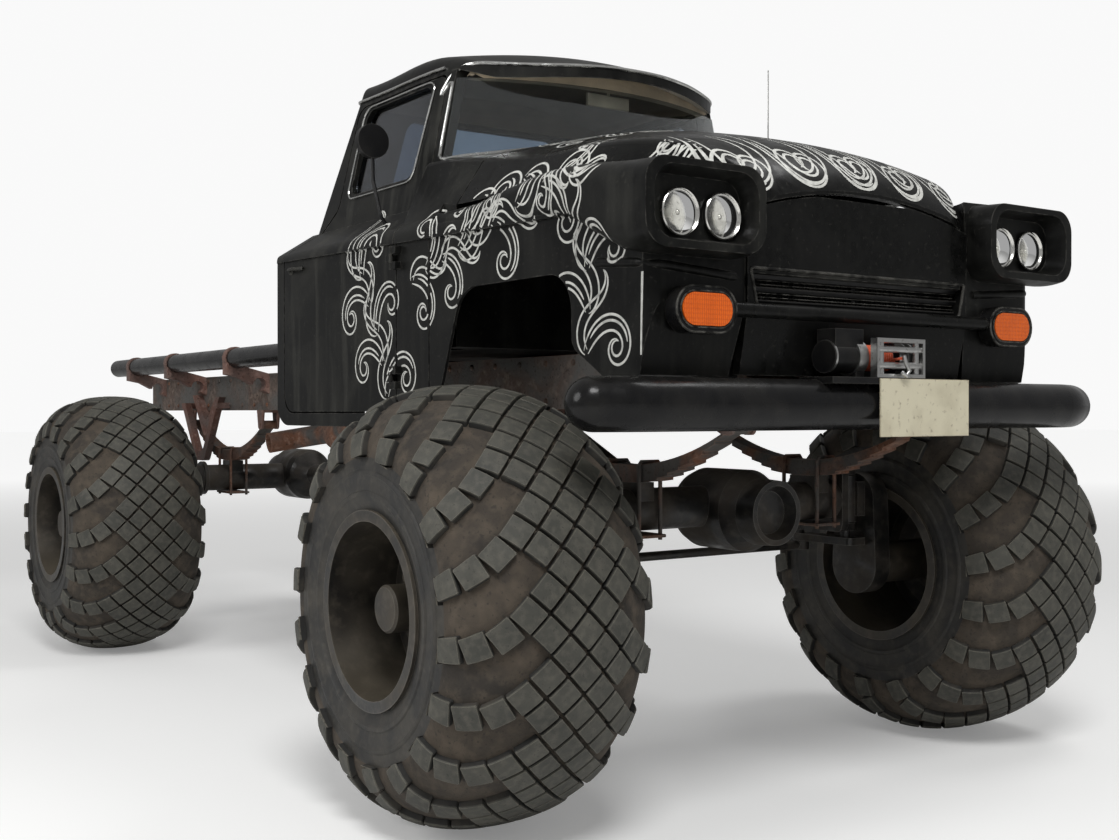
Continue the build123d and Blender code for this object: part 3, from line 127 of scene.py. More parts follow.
class Parts:
    """Collects rings, tubes and boxes into one mesh."""

    def __init__(self):
        self.verts, self.faces, self.indices = [], [], []

    def add(self, verts, faces, index=0):
        base = len(self.verts)
        self.verts += [Vector(v) for v in verts]
        self.faces += [tuple(base + i for i in face) for face in faces]
        self.indices += [index] * len(faces)

    def rings(self, rings, index=0, loop=False):
        """Skin over equal closed rings of points, closed into a loop or capped at its ends."""
        count = len(rings[0])
        faces = []
        last = len(rings) if loop else len(rings) - 1
        for i in range(last):
            low, high = i * count, (i + 1) % len(rings) * count
            for j in range(count):
                k = (j + 1) % count
                faces.append((low + j, low + k, high + k, high + j))
        if not loop:
            faces.append(tuple(reversed(range(count))))
            faces.append(tuple((len(rings) - 1) * count + j for j in range(count)))
        self.add([p for ring in rings for p in ring], faces, index)

    def lathe(self, profile, origin, axis, index=0, segments=48, loop=False):
        """Skin turned from (along, radius) points about an axis through origin."""
        axis = Vector(axis).normalized()
        side = axis.orthogonal().normalized()
        up = axis.cross(side)
        rings = []
        for along, radius in profile:
            middle = Vector(origin) + axis * along
            rings.append([middle + (side * math.cos(a) + up * math.sin(a)) * radius
                          for a in (2 * math.pi * i / segments for i in range(segments))])
        self.rings(rings, index, loop)

    def tube(self, points, radius, index=0, sides=8):
        """Round bar along points."""
        points = [Vector(p) for p in points]
        normal = None
        rings = []
        for i, point in enumerate(points):
            run = (points[min(i + 1, len(points) - 1)] - points[max(i - 1, 0)]).normalized()
            normal = run.orthogonal() if normal is None else normal - run * normal.dot(run)
            normal.normalize()
            across = run.cross(normal)
            rings.append([point + (normal * math.cos(a) * radius + across * math.sin(a) * radius)
                          for a in (2 * math.pi * k / sides for k in range(sides))])
        self.rings(rings, index)

    def block(self, low, high, index=0, bevel=0.002):
        """Box with chamfered edges."""
        low, high = Vector(low), Vector(high)
        bevel = min([bevel] + [(h - l) / 2.1 for l, h in zip(low, high)])
        rings = []
        for z, inset in ((low.z, bevel), (low.z + bevel, 0), (high.z - bevel, 0), (high.z, bevel)):
            x0, x1, y0, y1 = low.x + inset, high.x - inset, low.y + inset, high.y - inset
            c = bevel
            rings.append([Vector(p) for p in (
                (x0 + c, y0, z), (x1 - c, y0, z), (x1, y0 + c, z), (x1, y1 - c, z),
                (x1 - c, y1, z), (x0 + c, y1, z), (x0, y1 - c, z), (x0, y0 + c, z))])
        self.rings(rings, index)

    def piece(self, name, materials, body, replaces=(), slot=None):
        made = new_object(name, self.verts, self.faces, materials, self.indices)
        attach(made, body)
        if replaces:
            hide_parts(*replaces)
        return made


# Materials
class Finish:
    """One procedural material, built up layer by layer over a Principled shader."""

    def __init__(self, name, colour, roughness=0.5, metallic=0.0, **constants):
        self.material = bpy.data.materials.new(name)
        self.material.use_nodes = True
        self.tree = self.material.node_tree
        self.shader = self.tree.nodes["Principled BSDF"]
        self.shader.inputs["Metallic"].default_value = metallic
        for key, value in constants.items():
            self.shader.inputs[key.replace("_", " ")].default_value = value
        self.colour = (*colour, 1)
        self.roughness = roughness
        self.height = None
        self.coords = self.node("ShaderNodeTexCoord").outputs["Object"]

    def node(self, kind, **values):
        made = self.tree.nodes.new(kind)
        for key, value in values.items():
            setattr(made, key, value)
        return made

    def link(self, source, target):
        self.tree.links.new(source, target)

    def feed(self, value, target):
        """Gives a socket another node's output or a constant of its own."""
        if isinstance(value, bpy.types.NodeSocket):
            self.link(value, target)
        else:
            target.default_value = value

    def math(self, operation, a, b=None):
        made = self.node("ShaderNodeMath", operation=operation)
        for socket, value in zip(made.inputs, (a, b)):
            if value is not None:
                self.feed(value, socket)
        return made.outputs[0]

    def spread(self, value, low, high):
        """Value mapped from low..high to 0..1."""
        made = self.node("ShaderNodeMapRange")
        self.link(value, made.inputs["Value"])
        made.inputs["From Min"].default_value = low
        made.inputs["From Max"].default_value = high
        return made.outputs["Result"]

    def noise(self, scale, low=0.35, high=0.65, detail=5.0, stretch=(1, 1, 1), twist=0.0):
        mapping = self.node("ShaderNodeMapping")
        self.link(self.coords, mapping.inputs["Vector"])
        mapping.inputs["Scale"].default_value = stretch
        made = self.node("ShaderNodeTexNoise")
        made.inputs["Scale"].default_value = scale
        made.inputs["Detail"].default_value = detail
        made.inputs["Distortion"].default_value = twist
        self.link(mapping.outputs["Vector"], made.inputs["Vector"])
        return self.spread(made.outputs["Fac"], low, high)

    def wave(self, scale, direction, low=0.0, high=1.0):
        made = self.node("ShaderNodeTexWave", bands_direction=direction)
        made.inputs["Scale"].default_value = scale
        self.link(self.coords, made.inputs["Vector"])
        return self.spread(made.outputs["Fac"], low, high)

    def edges(self, radius):
        """1 on convex and concave edges, 0 on flat ground."""
        bevel = self.node("ShaderNodeBevel", samples=4)
        bevel.inputs["Radius"].default_value = radius
        geometry = self.node("ShaderNodeNewGeometry")
        dot = self.node("ShaderNodeVectorMath", operation="DOT_PRODUCT")
        self.link(bevel.outputs["Normal"], dot.inputs[0])
        self.link(geometry.outputs["Normal"], dot.inputs[1])
        return self.spread(self.math("SUBTRACT", 1.0, dot.outputs["Value"]), 0.004, 0.05)

    def upward(self, low=0.3, high=0.95):
        geometry = self.node("ShaderNodeNewGeometry")
        split = self.node("ShaderNodeSeparateXYZ")
        self.link(geometry.outputs["Normal"], split.inputs[0])
        return self.spread(split.outputs["Z"], low, high)

    def tint(self, mask, colour, amount=1.0):
        made = self.node("ShaderNodeMix", data_type="RGBA", clamp_factor=True)
        self.link(self.math("MULTIPLY", mask, amount), made.inputs["Factor"])
        self.feed(self.colour, made.inputs["A"])
        made.inputs["B"].default_value = (*colour, 1)
        self.colour = made.outputs["Result"]
        return self

    def rough(self, mask, value):
        made = self.node("ShaderNodeMix", data_type="FLOAT", clamp_factor=True)
        self.link(mask, made.inputs["Factor"])
        self.feed(self.roughness, made.inputs["A"])
        made.inputs["B"].default_value = value
        self.roughness = made.outputs["Result"]
        return self

    def relief(self, mask, weight=1.0):
        share = self.math("MULTIPLY", mask, weight)
        self.height = share if self.height is None else self.math("ADD", self.height, share)
        return self

    def done(self, strength=0.3, distance=0.002):
        self.feed(self.colour, self.shader.inputs["Base Color"])
        self.feed(self.roughness, self.shader.inputs["Roughness"])
        if self.height is not None:
            bump = self.node("ShaderNodeBump")
            bump.inputs["Strength"].default_value = strength
            bump.inputs["Distance"].default_value = distance
            self.link(self.height, bump.inputs["Height"])
            self.link(bump.outputs["Normal"], self.shader.inputs["Normal"])
        return self.material


def body_paint(name, streaks=0.2, wear=0.45, gloss=0.34, grey=(0.032, 0.032, 0.028)):
    """Worn black: mottled grey patina, pale vertical streaks, pale edges that are partly rubbed paint and
    partly painted highlight glints, and fine orange peel.
    """
    paint = Finish(name, (0.0042, 0.0043, 0.0041), gloss, Specular_IOR_Level=0.13, Coat_Weight=0.02)
    patina = paint.noise(3.2, 0.46, 0.74, 8, twist=0.6)
    fine = paint.noise(26, 0.42, 0.75, 8)
    runs = paint.noise(5.0, 0.52, 0.8, 6, stretch=(3.0, 3.0, 0.22))
    paint.tint(patina, grey, 0.5).tint(fine, (0.012, 0.012, 0.011), 0.4)
    paint.tint(runs, (0.085, 0.084, 0.074), streaks)
    paint.tint(paint.noise(60, 0.62, 0.72, 3), (0.05, 0.048, 0.042), 0.3)
    # Pale edges: partly rubbed paint, partly painted highlight glints along the edges; wear sets how strong
    # both are.
    edge = paint.math("MULTIPLY", paint.edges(0.005), paint.noise(30, 0.42, 0.6))
    paint.tint(edge, (0.15, 0.145, 0.13), wear)
    settled = paint.math("MULTIPLY", paint.upward(0.5, 1.0), paint.noise(7, 0.35, 0.75))
    paint.tint(settled, (0.036, 0.034, 0.029), 0.3)
    paint.rough(patina, 0.5).rough(runs, 0.62).rough(fine, 0.45)
    paint.relief(paint.noise(180, 0.2, 0.8, 2), 0.12).relief(paint.noise(2.2, 0.1, 0.9, 2), 1.2)
    return paint.done(0.1, 0.004)


def black_trim(name, gloss=0.3, dust=0.3, dull=0.52):
    paint = Finish(name, (0.0055, 0.0055, 0.006), gloss, Specular_IOR_Level=0.2, Coat_Weight=0.04)
    paint.tint(paint.noise(9, 0.45, 0.75, 7), (0.022, 0.021, 0.019), 0.6)
    paint.tint(paint.edges(0.004), (0.11, 0.106, 0.096), 0.4)
    paint.tint(paint.upward(0.4, 1.0), (0.055, 0.05, 0.041), dust)
    paint.rough(paint.noise(14, 0.35, 0.7, 6), dull)
    paint.relief(paint.noise(120, 0.2, 0.8, 3))
    return paint.done(0.12, 0.001)


def dusty_wheel():
    """Black steel wheel filmed with brown road dust."""
    wheel = Finish("wheel_black", (0.012, 0.0115, 0.011), 0.34, Specular_IOR_Level=0.45)
    film = wheel.noise(4, 0.36, 0.66, 8, twist=0.8)
    wheel.tint(film, (0.085, 0.07, 0.05), 0.6)
    wheel.tint(wheel.noise(24, 0.5, 0.7, 6), (0.13, 0.11, 0.085), 0.3)
    wheel.tint(wheel.edges(0.005), (0.2, 0.18, 0.15), 0.5)
    wheel.tint(wheel.upward(0.3, 1.0), (0.13, 0.11, 0.08), 0.5)
    wheel.rough(film, 0.6)
    wheel.relief(wheel.noise(70, 0.3, 0.7, 5))
    return wheel.done(0.25, 0.0012)


def rusty(name, steel=(0.055, 0.05, 0.045), rust=(0.17, 0.065, 0.03), pale=(0.3, 0.19, 0.14), amount=0.8):
    """Weathered steel: rust in patches and at edges, pale flaking spots, pitted."""
    metal = Finish(name, steel, 0.7)
    patch = metal.noise(4.5, 0.42, 0.62, 9, twist=0.8)
    metal.tint(metal.noise(11, 0.35, 0.7, 8), (0.11, 0.1, 0.09), 0.5)
    metal.tint(patch, rust, amount)
    metal.tint(metal.math("MULTIPLY", patch, metal.noise(33, 0.5, 0.66, 6)), pale, 0.55)
    metal.tint(metal.edges(0.004), (0.24, 0.12, 0.07), 0.45)
    metal.tint(metal.noise(70, 0.58, 0.7, 4), (0.03, 0.018, 0.013), 0.7)
    metal.rough(patch, 0.88)
    metal.relief(metal.noise(90, 0.3, 0.7, 6)).relief(metal.noise(18, 0.35, 0.65, 5), 1.5)
    return metal.done(0.45, 0.002)


def oily_iron(name, base=(0.016, 0.0155, 0.015)):
    iron = Finish(name, base, 0.3, 0.3)
    dust = iron.noise(6, 0.42, 0.66, 8, twist=0.4)
    iron.tint(dust, (0.075, 0.06, 0.045), 0.55)
    iron.tint(iron.noise(30, 0.5, 0.72, 6), (0.12, 0.108, 0.09), 0.25)
    iron.tint(iron.edges(0.004), (0.24, 0.23, 0.21), 0.5)
    iron.tint(iron.upward(0.5, 1.0), (0.1, 0.085, 0.066), 0.4)
    iron.rough(dust, 0.82)
    iron.relief(iron.noise(55, 0.3, 0.7, 5))
    return iron.done(0.3, 0.0015)


def rubber_lug():
    """Face of a tread block: grey-green rubber with pale dust and fine scuffs."""
    lug = Finish("lug_face", (0.04, 0.04, 0.033), 0.66)
    lug.tint(lug.noise(7, 0.35, 0.7, 7), (0.083, 0.08, 0.065), 0.75)
    lug.tint(lug.noise(45, 0.45, 0.7, 6), (0.15, 0.138, 0.11), 0.35)
    lug.tint(lug.noise(90, 0.6, 0.7, 3), (0.02, 0.02, 0.018), 0.6)
    lug.tint(lug.edges(0.004), (0.23, 0.21, 0.17), 0.45)
    lug.relief(lug.noise(160, 0.2, 0.8, 5)).relief(lug.noise(40, 0.3, 0.7, 3))
    return lug.done(0.35, 0.0012)


def rubber_side():
    side = Finish("lug_side", (0.016, 0.0155, 0.014), 0.8)
    side.tint(side.noise(12, 0.45, 0.75, 6), (0.07, 0.06, 0.046), 0.6)
    side.relief(side.noise(120, 0.2, 0.8, 4))
    return side.done(0.3, 0.001)


def rubber_carcass():
    """Dusty tan rubber between the lugs."""
    base = Finish("tyre_carcass", (0.062, 0.049, 0.036), 0.88)
    base.tint(base.noise(5, 0.4, 0.66, 8, twist=0.5), (0.024, 0.021, 0.018), 0.85)
    base.tint(base.noise(22, 0.45, 0.7, 8), (0.115, 0.09, 0.065), 0.5)
    base.tint(base.noise(85, 0.58, 0.7, 4), (0.02, 0.018, 0.015), 0.6)
    base.relief(base.noise(60, 0.25, 0.75, 6)).relief(base.noise(240, 0.2, 0.8, 2), 0.4)
    return base.done(0.5, 0.002)


def rubber_wall():
    """Sidewall: dark rubber with radial scuffs and a film of dust."""
    wall = Finish("tyre_sidewall", (0.016, 0.0155, 0.0145), 0.6)
    wall.tint(wall.noise(6, 0.42, 0.68, 8, twist=0.7), (0.052, 0.046, 0.036), 0.7)
    wall.tint(wall.noise(38, 0.5, 0.72, 6), (0.085, 0.075, 0.06), 0.35)
    wall.relief(wall.noise(110, 0.2, 0.8, 5)).relief(wall.noise(20, 0.3, 0.7, 4))
    return wall.done(0.3, 0.0015)


def glass(name, tint, roughness=0.03):
    clear = Finish(name, tint, roughness, Transmission_Weight=1.0, IOR=1.45, Specular_IOR_Level=0.3)
    if roughness:
        clear.rough(clear.noise(9, 0.5, 0.8, 6, twist=0.5), roughness + 0.05)
    else:
        clear.tint(clear.noise(5, 0.45, 0.8, 6), tuple(c * 0.8 for c in tint), 0.6)
    return clear.done()


def bright(name, colour=(0.62, 0.62, 0.6), roughness=0.14, dull=0.4):
    metal = Finish(name, colour, roughness, 1.0)
    worn = metal.noise(16, 0.42, 0.7, 7)
    metal.tint(worn, tuple(c * 0.55 for c in colour), dull)
    metal.tint(metal.noise(80, 0.6, 0.72), (0.12, 0.09, 0.07), 0.5)
    metal.rough(worn, roughness + 0.25)
    metal.relief(metal.noise(100, 0.3, 0.7, 3))
    return metal.done(0.06, 0.001)


def amber_lens():
    """Amber plastic with fine upright ribs and fainter level ones."""
    lens = Finish("amber_ribbed", (0.9, 0.17, 0.012), 0.2, Specular_IOR_Level=0.4)
    ribs = lens.wave(36, "Y")
    lens.tint(ribs, (0.62, 0.075, 0.005), 0.75)
    lens.tint(lens.noise(14, 0.4, 0.7, 4), (0.6, 0.1, 0.008), 0.5)
    lens.tint(lens.wave(22, "Z", 0.55, 1.0), (0.55, 0.07, 0.005), 0.4)
    lens.relief(ribs).relief(lens.wave(22, "Z"), 0.35)
    lens.rough(lens.noise(40, 0.4, 0.7), 0.35)
    return lens.done(0.35, 0.002)


def line_paint():
    # Pale line paint for the scrolls, also used for a painted highlight on the fenders' front corners.
    line = Finish("pinstripe_and_edge_highlight", (0.66, 0.66, 0.62), 0.4)
    line.tint(line.noise(35, 0.45, 0.7, 6), (0.3, 0.3, 0.28), 0.7)
    line.rough(line.noise(60, 0.4, 0.7), 0.6)
    return line.done()


def cloth(name, colour):
    woven = Finish(name, colour, 0.9, Sheen_Weight=0.3)
    woven.tint(woven.noise(8, 0.35, 0.7, 6), tuple(c * 1.7 for c in colour), 0.5)
    woven.relief(woven.wave(90, "X")).relief(woven.wave(90, "DIAGONAL"), 0.6)
    woven.rough(woven.noise(20, 0.3, 0.7), 0.98)
    return woven.done(0.35, 0.0008)


def plate_paint():
    cream = Finish("plate_cream", (0.68, 0.63, 0.47), 0.45)
    cream.tint(cream.noise(10, 0.45, 0.7, 7), (0.5, 0.45, 0.32), 0.6)
    cream.tint(cream.noise(45, 0.6, 0.72, 4), (0.18, 0.12, 0.07), 0.6)
    cream.tint(cream.edges(0.004), (0.3, 0.22, 0.14), 0.6)
    cream.rough(cream.noise(25, 0.35, 0.7), 0.65)
    cream.relief(cream.noise(60, 0.3, 0.7))
    return cream.done(0.12, 0.001)


PAINT = body_paint("body_black")
PAINT_DOOR = body_paint("door_black", streaks=0.5, wear=0.55, gloss=0.42, grey=(0.045, 0.044, 0.038))
PAINT_NOSE = body_paint("nose_black", streaks=0.04, wear=0.4, gloss=0.22, grey=(0.012, 0.012, 0.0115))
TRIM = black_trim("trim_black")
GLOSS = black_trim("bumper_black", 0.16, 0.1, 0.34)
# Pale worn grey whose heavy edge tint is partly rubbed paint and partly painted highlight glints.
WORN_AND_GLINTING = body_paint("worn_edge_and_glint", streaks=0.5, wear=0.9, gloss=0.4, grey=(0.13, 0.126, 0.112))
WHEEL = dusty_wheel()
RUST = rusty("rusty_steel")
RAIL = rusty("weathered_rail", (0.1, 0.098, 0.092), (0.13, 0.065, 0.04), (0.28, 0.22, 0.18), 0.5)
PINK_RUST = rusty("pink_rust", (0.16, 0.1, 0.085), (0.2, 0.09, 0.065), (0.36, 0.24, 0.2), 0.7)
IRON = oily_iron("axle_iron")
ENGINE = oily_iron("engine_iron", (0.05, 0.05, 0.05))
LUG, LUG_SIDE, CARCASS, SIDEWALL = rubber_lug(), rubber_side(), rubber_carcass(), rubber_wall()
CLEAR = glass("clear_glass", (0.86, 0.9, 0.9))
SMOKED = glass("rear_glass", (0.12, 0.165, 0.23), 0.0)
DUSTY = glass("door_glass", (0.3, 0.33, 0.38), 0.0)
LENS = glass("lamp_glass", (0.97, 0.97, 0.95), 0.02)
CHROME = bright("worn_chrome")
REFLECTOR = bright("lamp_reflector", (0.8, 0.79, 0.75), 0.1, 0.6)
STEEL = bright("bare_steel", (0.5, 0.5, 0.49), 0.28, 0.5)
AMBER = amber_lens()
LINE = line_paint()
SEAT = cloth("seat_cloth", (0.05, 0.046, 0.042))
# The headliner inside the cab is a darker copy of the brow's tan cloth: painted shade of the cab's inside.
SHADED_HEADLINER = cloth("headliner_tan_painted_shade", (0.16, 0.128, 0.09))
BROW = cloth("brow_beige", (0.5, 0.43, 0.32))
VISOR = cloth("mirror_beige", (0.62, 0.56, 0.46))
ROPE = cloth("winch_rope", (0.55, 0.09, 0.03))
PLATE = plate_paint()

NODE_MATERIALS = {
    "cab_shell": PAINT, "cab_roof": PAINT, "door_left": PAINT_DOOR, "door_right": PAINT_DOOR,
    "fender_left": PAINT, "fender_right": PAINT, "hood": PAINT_NOSE, "front_panel": PAINT_NOSE,
    "grille": TRIM, "signal_bezels": GLOSS, "mirror_left": TRIM, "mirror_right": TRIM, "antenna": CHROME,
    "dash": TRIM, "steering_wheel": TRIM, "windshield": CLEAR, "rear_window": SMOKED,
    "door_glass_left": DUSTY, "door_glass_right": DUSTY, "headlights": LENS, "signal_lenses": AMBER,
    "frame_rails": RAIL,
    "load_tubes": GLOSS, "bumper": GLOSS, "winch": TRIM, "frame_brackets": PINK_RUST, "leaf_springs": RUST,
    "driveshafts": IRON, "exhaust": RUST, "front_axle": IRON, "rear_axle": IRON, "knuckle_left": IRON,
    "knuckle_right": IRON, "tie_rod": IRON, "engine": ENGINE, "gearbox": ENGINE, "seat": SEAT,
    "interior_mirror": VISOR, "number_plate": PLATE,
    **{f"rim_{end}_{side}": WHEEL for end in ("front", "rear") for side, _ in SIDES},
    **{f"tyre_{end}_{side}": SIDEWALL for end in ("front", "rear") for side, _ in SIDES},
}
for node, material in NODE_MATERIALS.items():
    data = NODES[node].data
    if not data.materials:
        data.materials.append(material)
    for i in range(len(data.materials)):
        data.materials[i] = material


# Tyres
def crown_section(count=60):
    """Right half of the carcass crown as points (y, r) at even steps of y's angle."""
    angles = np.linspace(0, math.pi / 2, count)
    y = TYRE_HALF * np.sin(angles)
    r = SHOULDER_R + (TYRE_R - SHOULDER_R) * np.sqrt(np.clip(1 - (y / TYRE_HALF) ** 2.3, 0, 1))
    return np.stack([y, r], 1)


CROWN = crown_section()
CROWN_RUN = np.concatenate([[0], np.cumsum(np.linalg.norm(np.diff(CROWN, axis=0), axis=1))])
WALL = ((0.351, 0.470), (0.351, 0.452), (0.355, 0.447), (0.356, 0.438), (0.352, 0.432), (0.351, 0.405),
        (0.349, 0.385), (0.353, 0.380), (0.353, 0.368), (0.348, 0.362), (0.345, 0.348), (0.339, 0.334),
        (0.339, 0.301))
TYRE_SEGMENTS = 160
LUG_PITCH = math.radians(20)
LUG_HALF = 0.0395
LUG_OUTLINE = ((-1, -0.92), (-0.92, -1), (-0.35, -1), (0.35, -1), (0.92, -1), (1, -0.92), (1, -0.35),
               (1, 0.35), (1, 0.92), (0.92, 1), (0.35, 1), (-0.35, 1), (-0.92, 1), (-1, 0.92), (-1, 0.35),
               (-1, -0.35))
# (lean in degrees, stretch) of each block of a bending arm, from the middle outwards
ARM = ((45, 1.0), (38, 0.98), (24, 1.0), (12, 1.0), (6, 1.0))
CARCASS_SLOT, FACE_SLOT, FLANK_SLOT, WALL_SLOT = range(4)


def on_crown(u, height):
    """Section point (y, r) at run u from the middle, raised by height along the normal."""
    side = -1 if u < 0 else 1
    u = min(abs(u), CROWN_RUN[-1])
    y, r = np.interp(u, CROWN_RUN, CROWN[:, 0]), np.interp(u, CROWN_RUN, CROWN[:, 1])
    ahead = min(u + 0.004, CROWN_RUN[-1])
    back = ahead - 0.008
    dy = np.interp(ahead, CROWN_RUN, CROWN[:, 0]) - np.interp(max(back, 0), CROWN_RUN, CROWN[:, 0])
    dr = np.interp(ahead, CROWN_RUN, CROWN[:, 1]) - np.interp(max(back, 0), CROWN_RUN, CROWN[:, 1])
    size = math.hypot(dy, dr) or 1.0
    return side * (y - dr / size * height), r + dy / size * height


def lug_places():
    """(run, angle, lean) of every tread block: a diamond lattice in the middle, bending arms outside it."""
    step = LUG_PITCH * TYRE_R / 4
    places = []
    for row in range(-2, 3):
        for i in range(36):
            places.append((row * step, (i + 0.5 * (row % 2)) * LUG_PITCH / 2, 45.0))
    for side in (1, -1):
        u, angle = 2 * step, 0.0
        for lean, stretch in ARM:
            cell = step * math.sqrt(2) * stretch
            u += cell * math.cos(math.radians(lean))
            angle += cell * math.sin(math.radians(lean)) / max(np.interp(u, CROWN_RUN, CROWN[:, 1]), 0.5)
            for i in range(18):
                start = i * LUG_PITCH + (0 if side > 0 else LUG_PITCH / 2)
                places.append((side * u, start + angle, side * lean))
    return places


def tyre_mesh():
    """Carcass and its lugs, about the origin with the axle along y."""
    parts = Parts()
    half = [tuple(p) for p in CROWN] + list(WALL)
    section = [(-y, r) for y, r in reversed(half[1:])] + half
    parts.lathe(section, (0, 0, 0), (0, 1, 0), CARCASS_SLOT, TYRE_SEGMENTS, loop=True)
    bands = len(section) - 1
    for i in (*range(len(WALL)), *range(bands - len(WALL), bands)):
        for j in range(TYRE_SEGMENTS):
            parts.indices[i * TYRE_SEGMENTS + j] = WALL_SLOT
    rng = random.Random(7)
    # (scale of the outline, height over the carcass, slot of the band below it)
    levels = ((1.0, -0.006, FLANK_SLOT), (0.99, LUG_H - 0.005, FLANK_SLOT), (0.93, LUG_H - 0.0003, FACE_SLOT),
              (0.55, LUG_H, FACE_SLOT))
    sizes = len(LUG_OUTLINE)
    for u, angle, lean in lug_places():
        lean = math.radians(lean)
        across, along = LUG_HALF * rng.uniform(0.97, 1.01), LUG_HALF * rng.uniform(0.97, 1.01)
        wear = rng.uniform(-0.0012, 0.0)
        radius = np.interp(min(abs(u), CROWN_RUN[-1]), CROWN_RUN, CROWN[:, 1]) + 0.01
        verts = []
        for scale, height, _ in levels:
            for a, b in LUG_OUTLINE:
                a, b = a * along * scale, b * across * scale
                run = u + a * math.cos(lean) - b * math.sin(lean)
                turn = angle + (a * math.sin(lean) + b * math.cos(lean)) / radius
                y, r = on_crown(run, height + wear * (height > 0))
                verts.append((r * math.sin(turn), y, r * math.cos(turn)))
        faces, indices = [], []
        for k in range(len(levels) - 1):
            for i in range(sizes):
                j = (i + 1) % sizes
                faces.append((k * sizes + i, k * sizes + j, (k + 1) * sizes + j, (k + 1) * sizes + i))
                indices.append(levels[k + 1][2])
        faces.append(tuple(range((len(levels) - 1) * sizes, len(levels) * sizes)))
        indices.append(FACE_SLOT)
        base = len(parts.verts)
        parts.verts += [Vector(v) for v in verts]
        parts.faces += [tuple(base + i for i in face) for face in faces]
        parts.indices += indices
    return parts


def tyres():
    parts = tyre_mesh()
    for end, x in (("front", AXLE_X), ("rear", REAR_X)):
        for side, way in SIDES:
            spot = Vector((x, way * WHEEL_Y, WHEEL_Z))
            verts = [Vector((v.x, v.y * way, v.z)) + spot for v in parts.verts]
            faces = parts.faces if way > 0 else [tuple(reversed(f)) for f in parts.faces]
            made = new_object(f"treaded_tyre_{end}_{side}", verts, faces, [CARCASS, LUG, LUG_SIDE, SIDEWALL],
                              parts.indices)
            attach(made, f"wheel_{end}_{side}")
            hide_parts(f"tyre_{end}_{side}")


# Paint lines and thin trim laid on the body
def tree_of(node):
    """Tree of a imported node's triangles, for rays."""
    mesh = NODES[node].data
    mesh.calc_loop_triangles()
    return BVHTree.FromPolygons([v.co for v in mesh.vertices], [t.vertices for t in mesh.loop_triangles])


class Skin:
    """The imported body's outer surface, for laying lines on it."""

    def __init__(self, *nodes):
        self.trees = [(NODES[node]["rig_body"], tree_of(node)) for node in nodes]

    def hit(self, start, way):
        """Nearest (body, place, normal towards the ray's start, distance), or None."""
        best = None
        for body, tree in self.trees:
            place, normal, _, distance = tree.ray_cast(start, way)
            if place is not None and (best is None or distance < best[3]):
                best = (body, place, normal if normal.dot(way) < 0 else -normal, distance)
        return best


SKIN = Skin("cab_shell", "cab_roof", "door_left", "door_right", "fender_left", "fender_right", "hood",
            "front_panel")


def from_side(way):
    """Ray from outside one side through the point (x, z)."""
    return lambda p: (at(p[0], way * 2.5, p[1]), Vector((0, -way, 0)))


def from_top(p):
    """Ray from above through the point (x, y)."""
    return at(p[0], p[1], 4.0), Vector((0, 0, -1))


def from_front(p):
    """Ray from in front through the point (y, z)."""
    return at(2.5, p[0], p[1]), Vector((-1, 0, 0))


def resampled(points, step):
    points = np.array(points, float)
    run = np.concatenate([[0], np.cumsum(np.linalg.norm(np.diff(points, axis=0), axis=1))])
    count = max(2, int(run[-1] / step) + 1)
    places = np.linspace(0, run[-1], count)
    return np.stack([np.interp(places, run, points[:, k]) for k in range(points.shape[1])], 1)


class Lines:
    """Ribbons of one material laid on the skin, gathered by the body they ride; only keeps to one body."""

    def __init__(self):
        self.bodies = {}
        self.only = None

    def draw(self, points, ray, taper=True):
        points = resampled(points, LINE_STEP)
        runs = np.gradient(points, axis=0)
        last = None
        count = len(points)
        for i, (point, run) in enumerate(zip(points, runs)):
            size = np.linalg.norm(run) or 1.0
            normal = np.array([-run[1], run[0]]) / size
            share = min(1.0, 0.35 + 6.0 * min(i, count - 1 - i) / count) if taper else 1.0
            row = [SKIN.hit(*ray(point + normal * LINE_WIDTH / 2 * share * k)) for k in (-1, 0, 1)]
            if any(h is None or h[0] != row[0][0] for h in row) or self.only not in (None, row[0][0]):
                last = None
                continue
            verts = [h[1] + h[2] * PAINT_LIFT for h in row]
            body = row[0][0]
            if (verts[0] - verts[2]).length > 2.2 * LINE_WIDTH:
                last = None
                continue
            store = self.bodies.setdefault(body, Parts())
            base = len(store.verts)
            store.verts += verts
            if last and last[0] == body and (store.verts[last[1]] - verts[0]).length < 4 * LINE_STEP:
                for k in (0, 1):
                    store.faces.append((last[1] + k, last[1] + k + 1, base + k + 1, base + k))
                    store.indices.append(0)
            last = (body, base)

    def pieces(self, name, material):
        for body, parts in self.bodies.items():
            if parts.faces:
                parts.piece(f"{name}_{body}", [material], body)


def clothoid(x, y, heading, length, first, last, steps=60):
    """Points of a curve whose bend goes evenly from first to last (1/m)."""
    points = []
    step = length / steps
    angle = math.radians(heading)
    for i in range(steps + 1):
        points.append((x, y, angle))
        bend = first + (last - first) * (i / steps) ** 2
        x, y = x + math.cos(angle) * step, y + math.sin(angle) * step
        angle += bend * step
    return points


def tendril(lines, ray, x, y, heading, length, first, last, width=0.05, inner=False):
    """Ribbon-like flame drawn as its two edges, which meet at the root and where it curls up."""
    spine = clothoid(x, y, heading, length, first, last)
    count = len(spine) - 1
    for way in (1, 0.25, -1) if inner else (1, -1):
        edge = []
        for i, (px, py, angle) in enumerate(spine):
            half = way * width / 2 * math.sin(math.pi * (0.04 + 0.96 * i / count) ** 0.62) ** 0.8
            edge.append((px - math.sin(angle) * half, py + math.cos(angle) * half))
        lines.draw(edge[int(count * 0.1):int(count * 0.6)] if way == 0.25 else edge, ray)


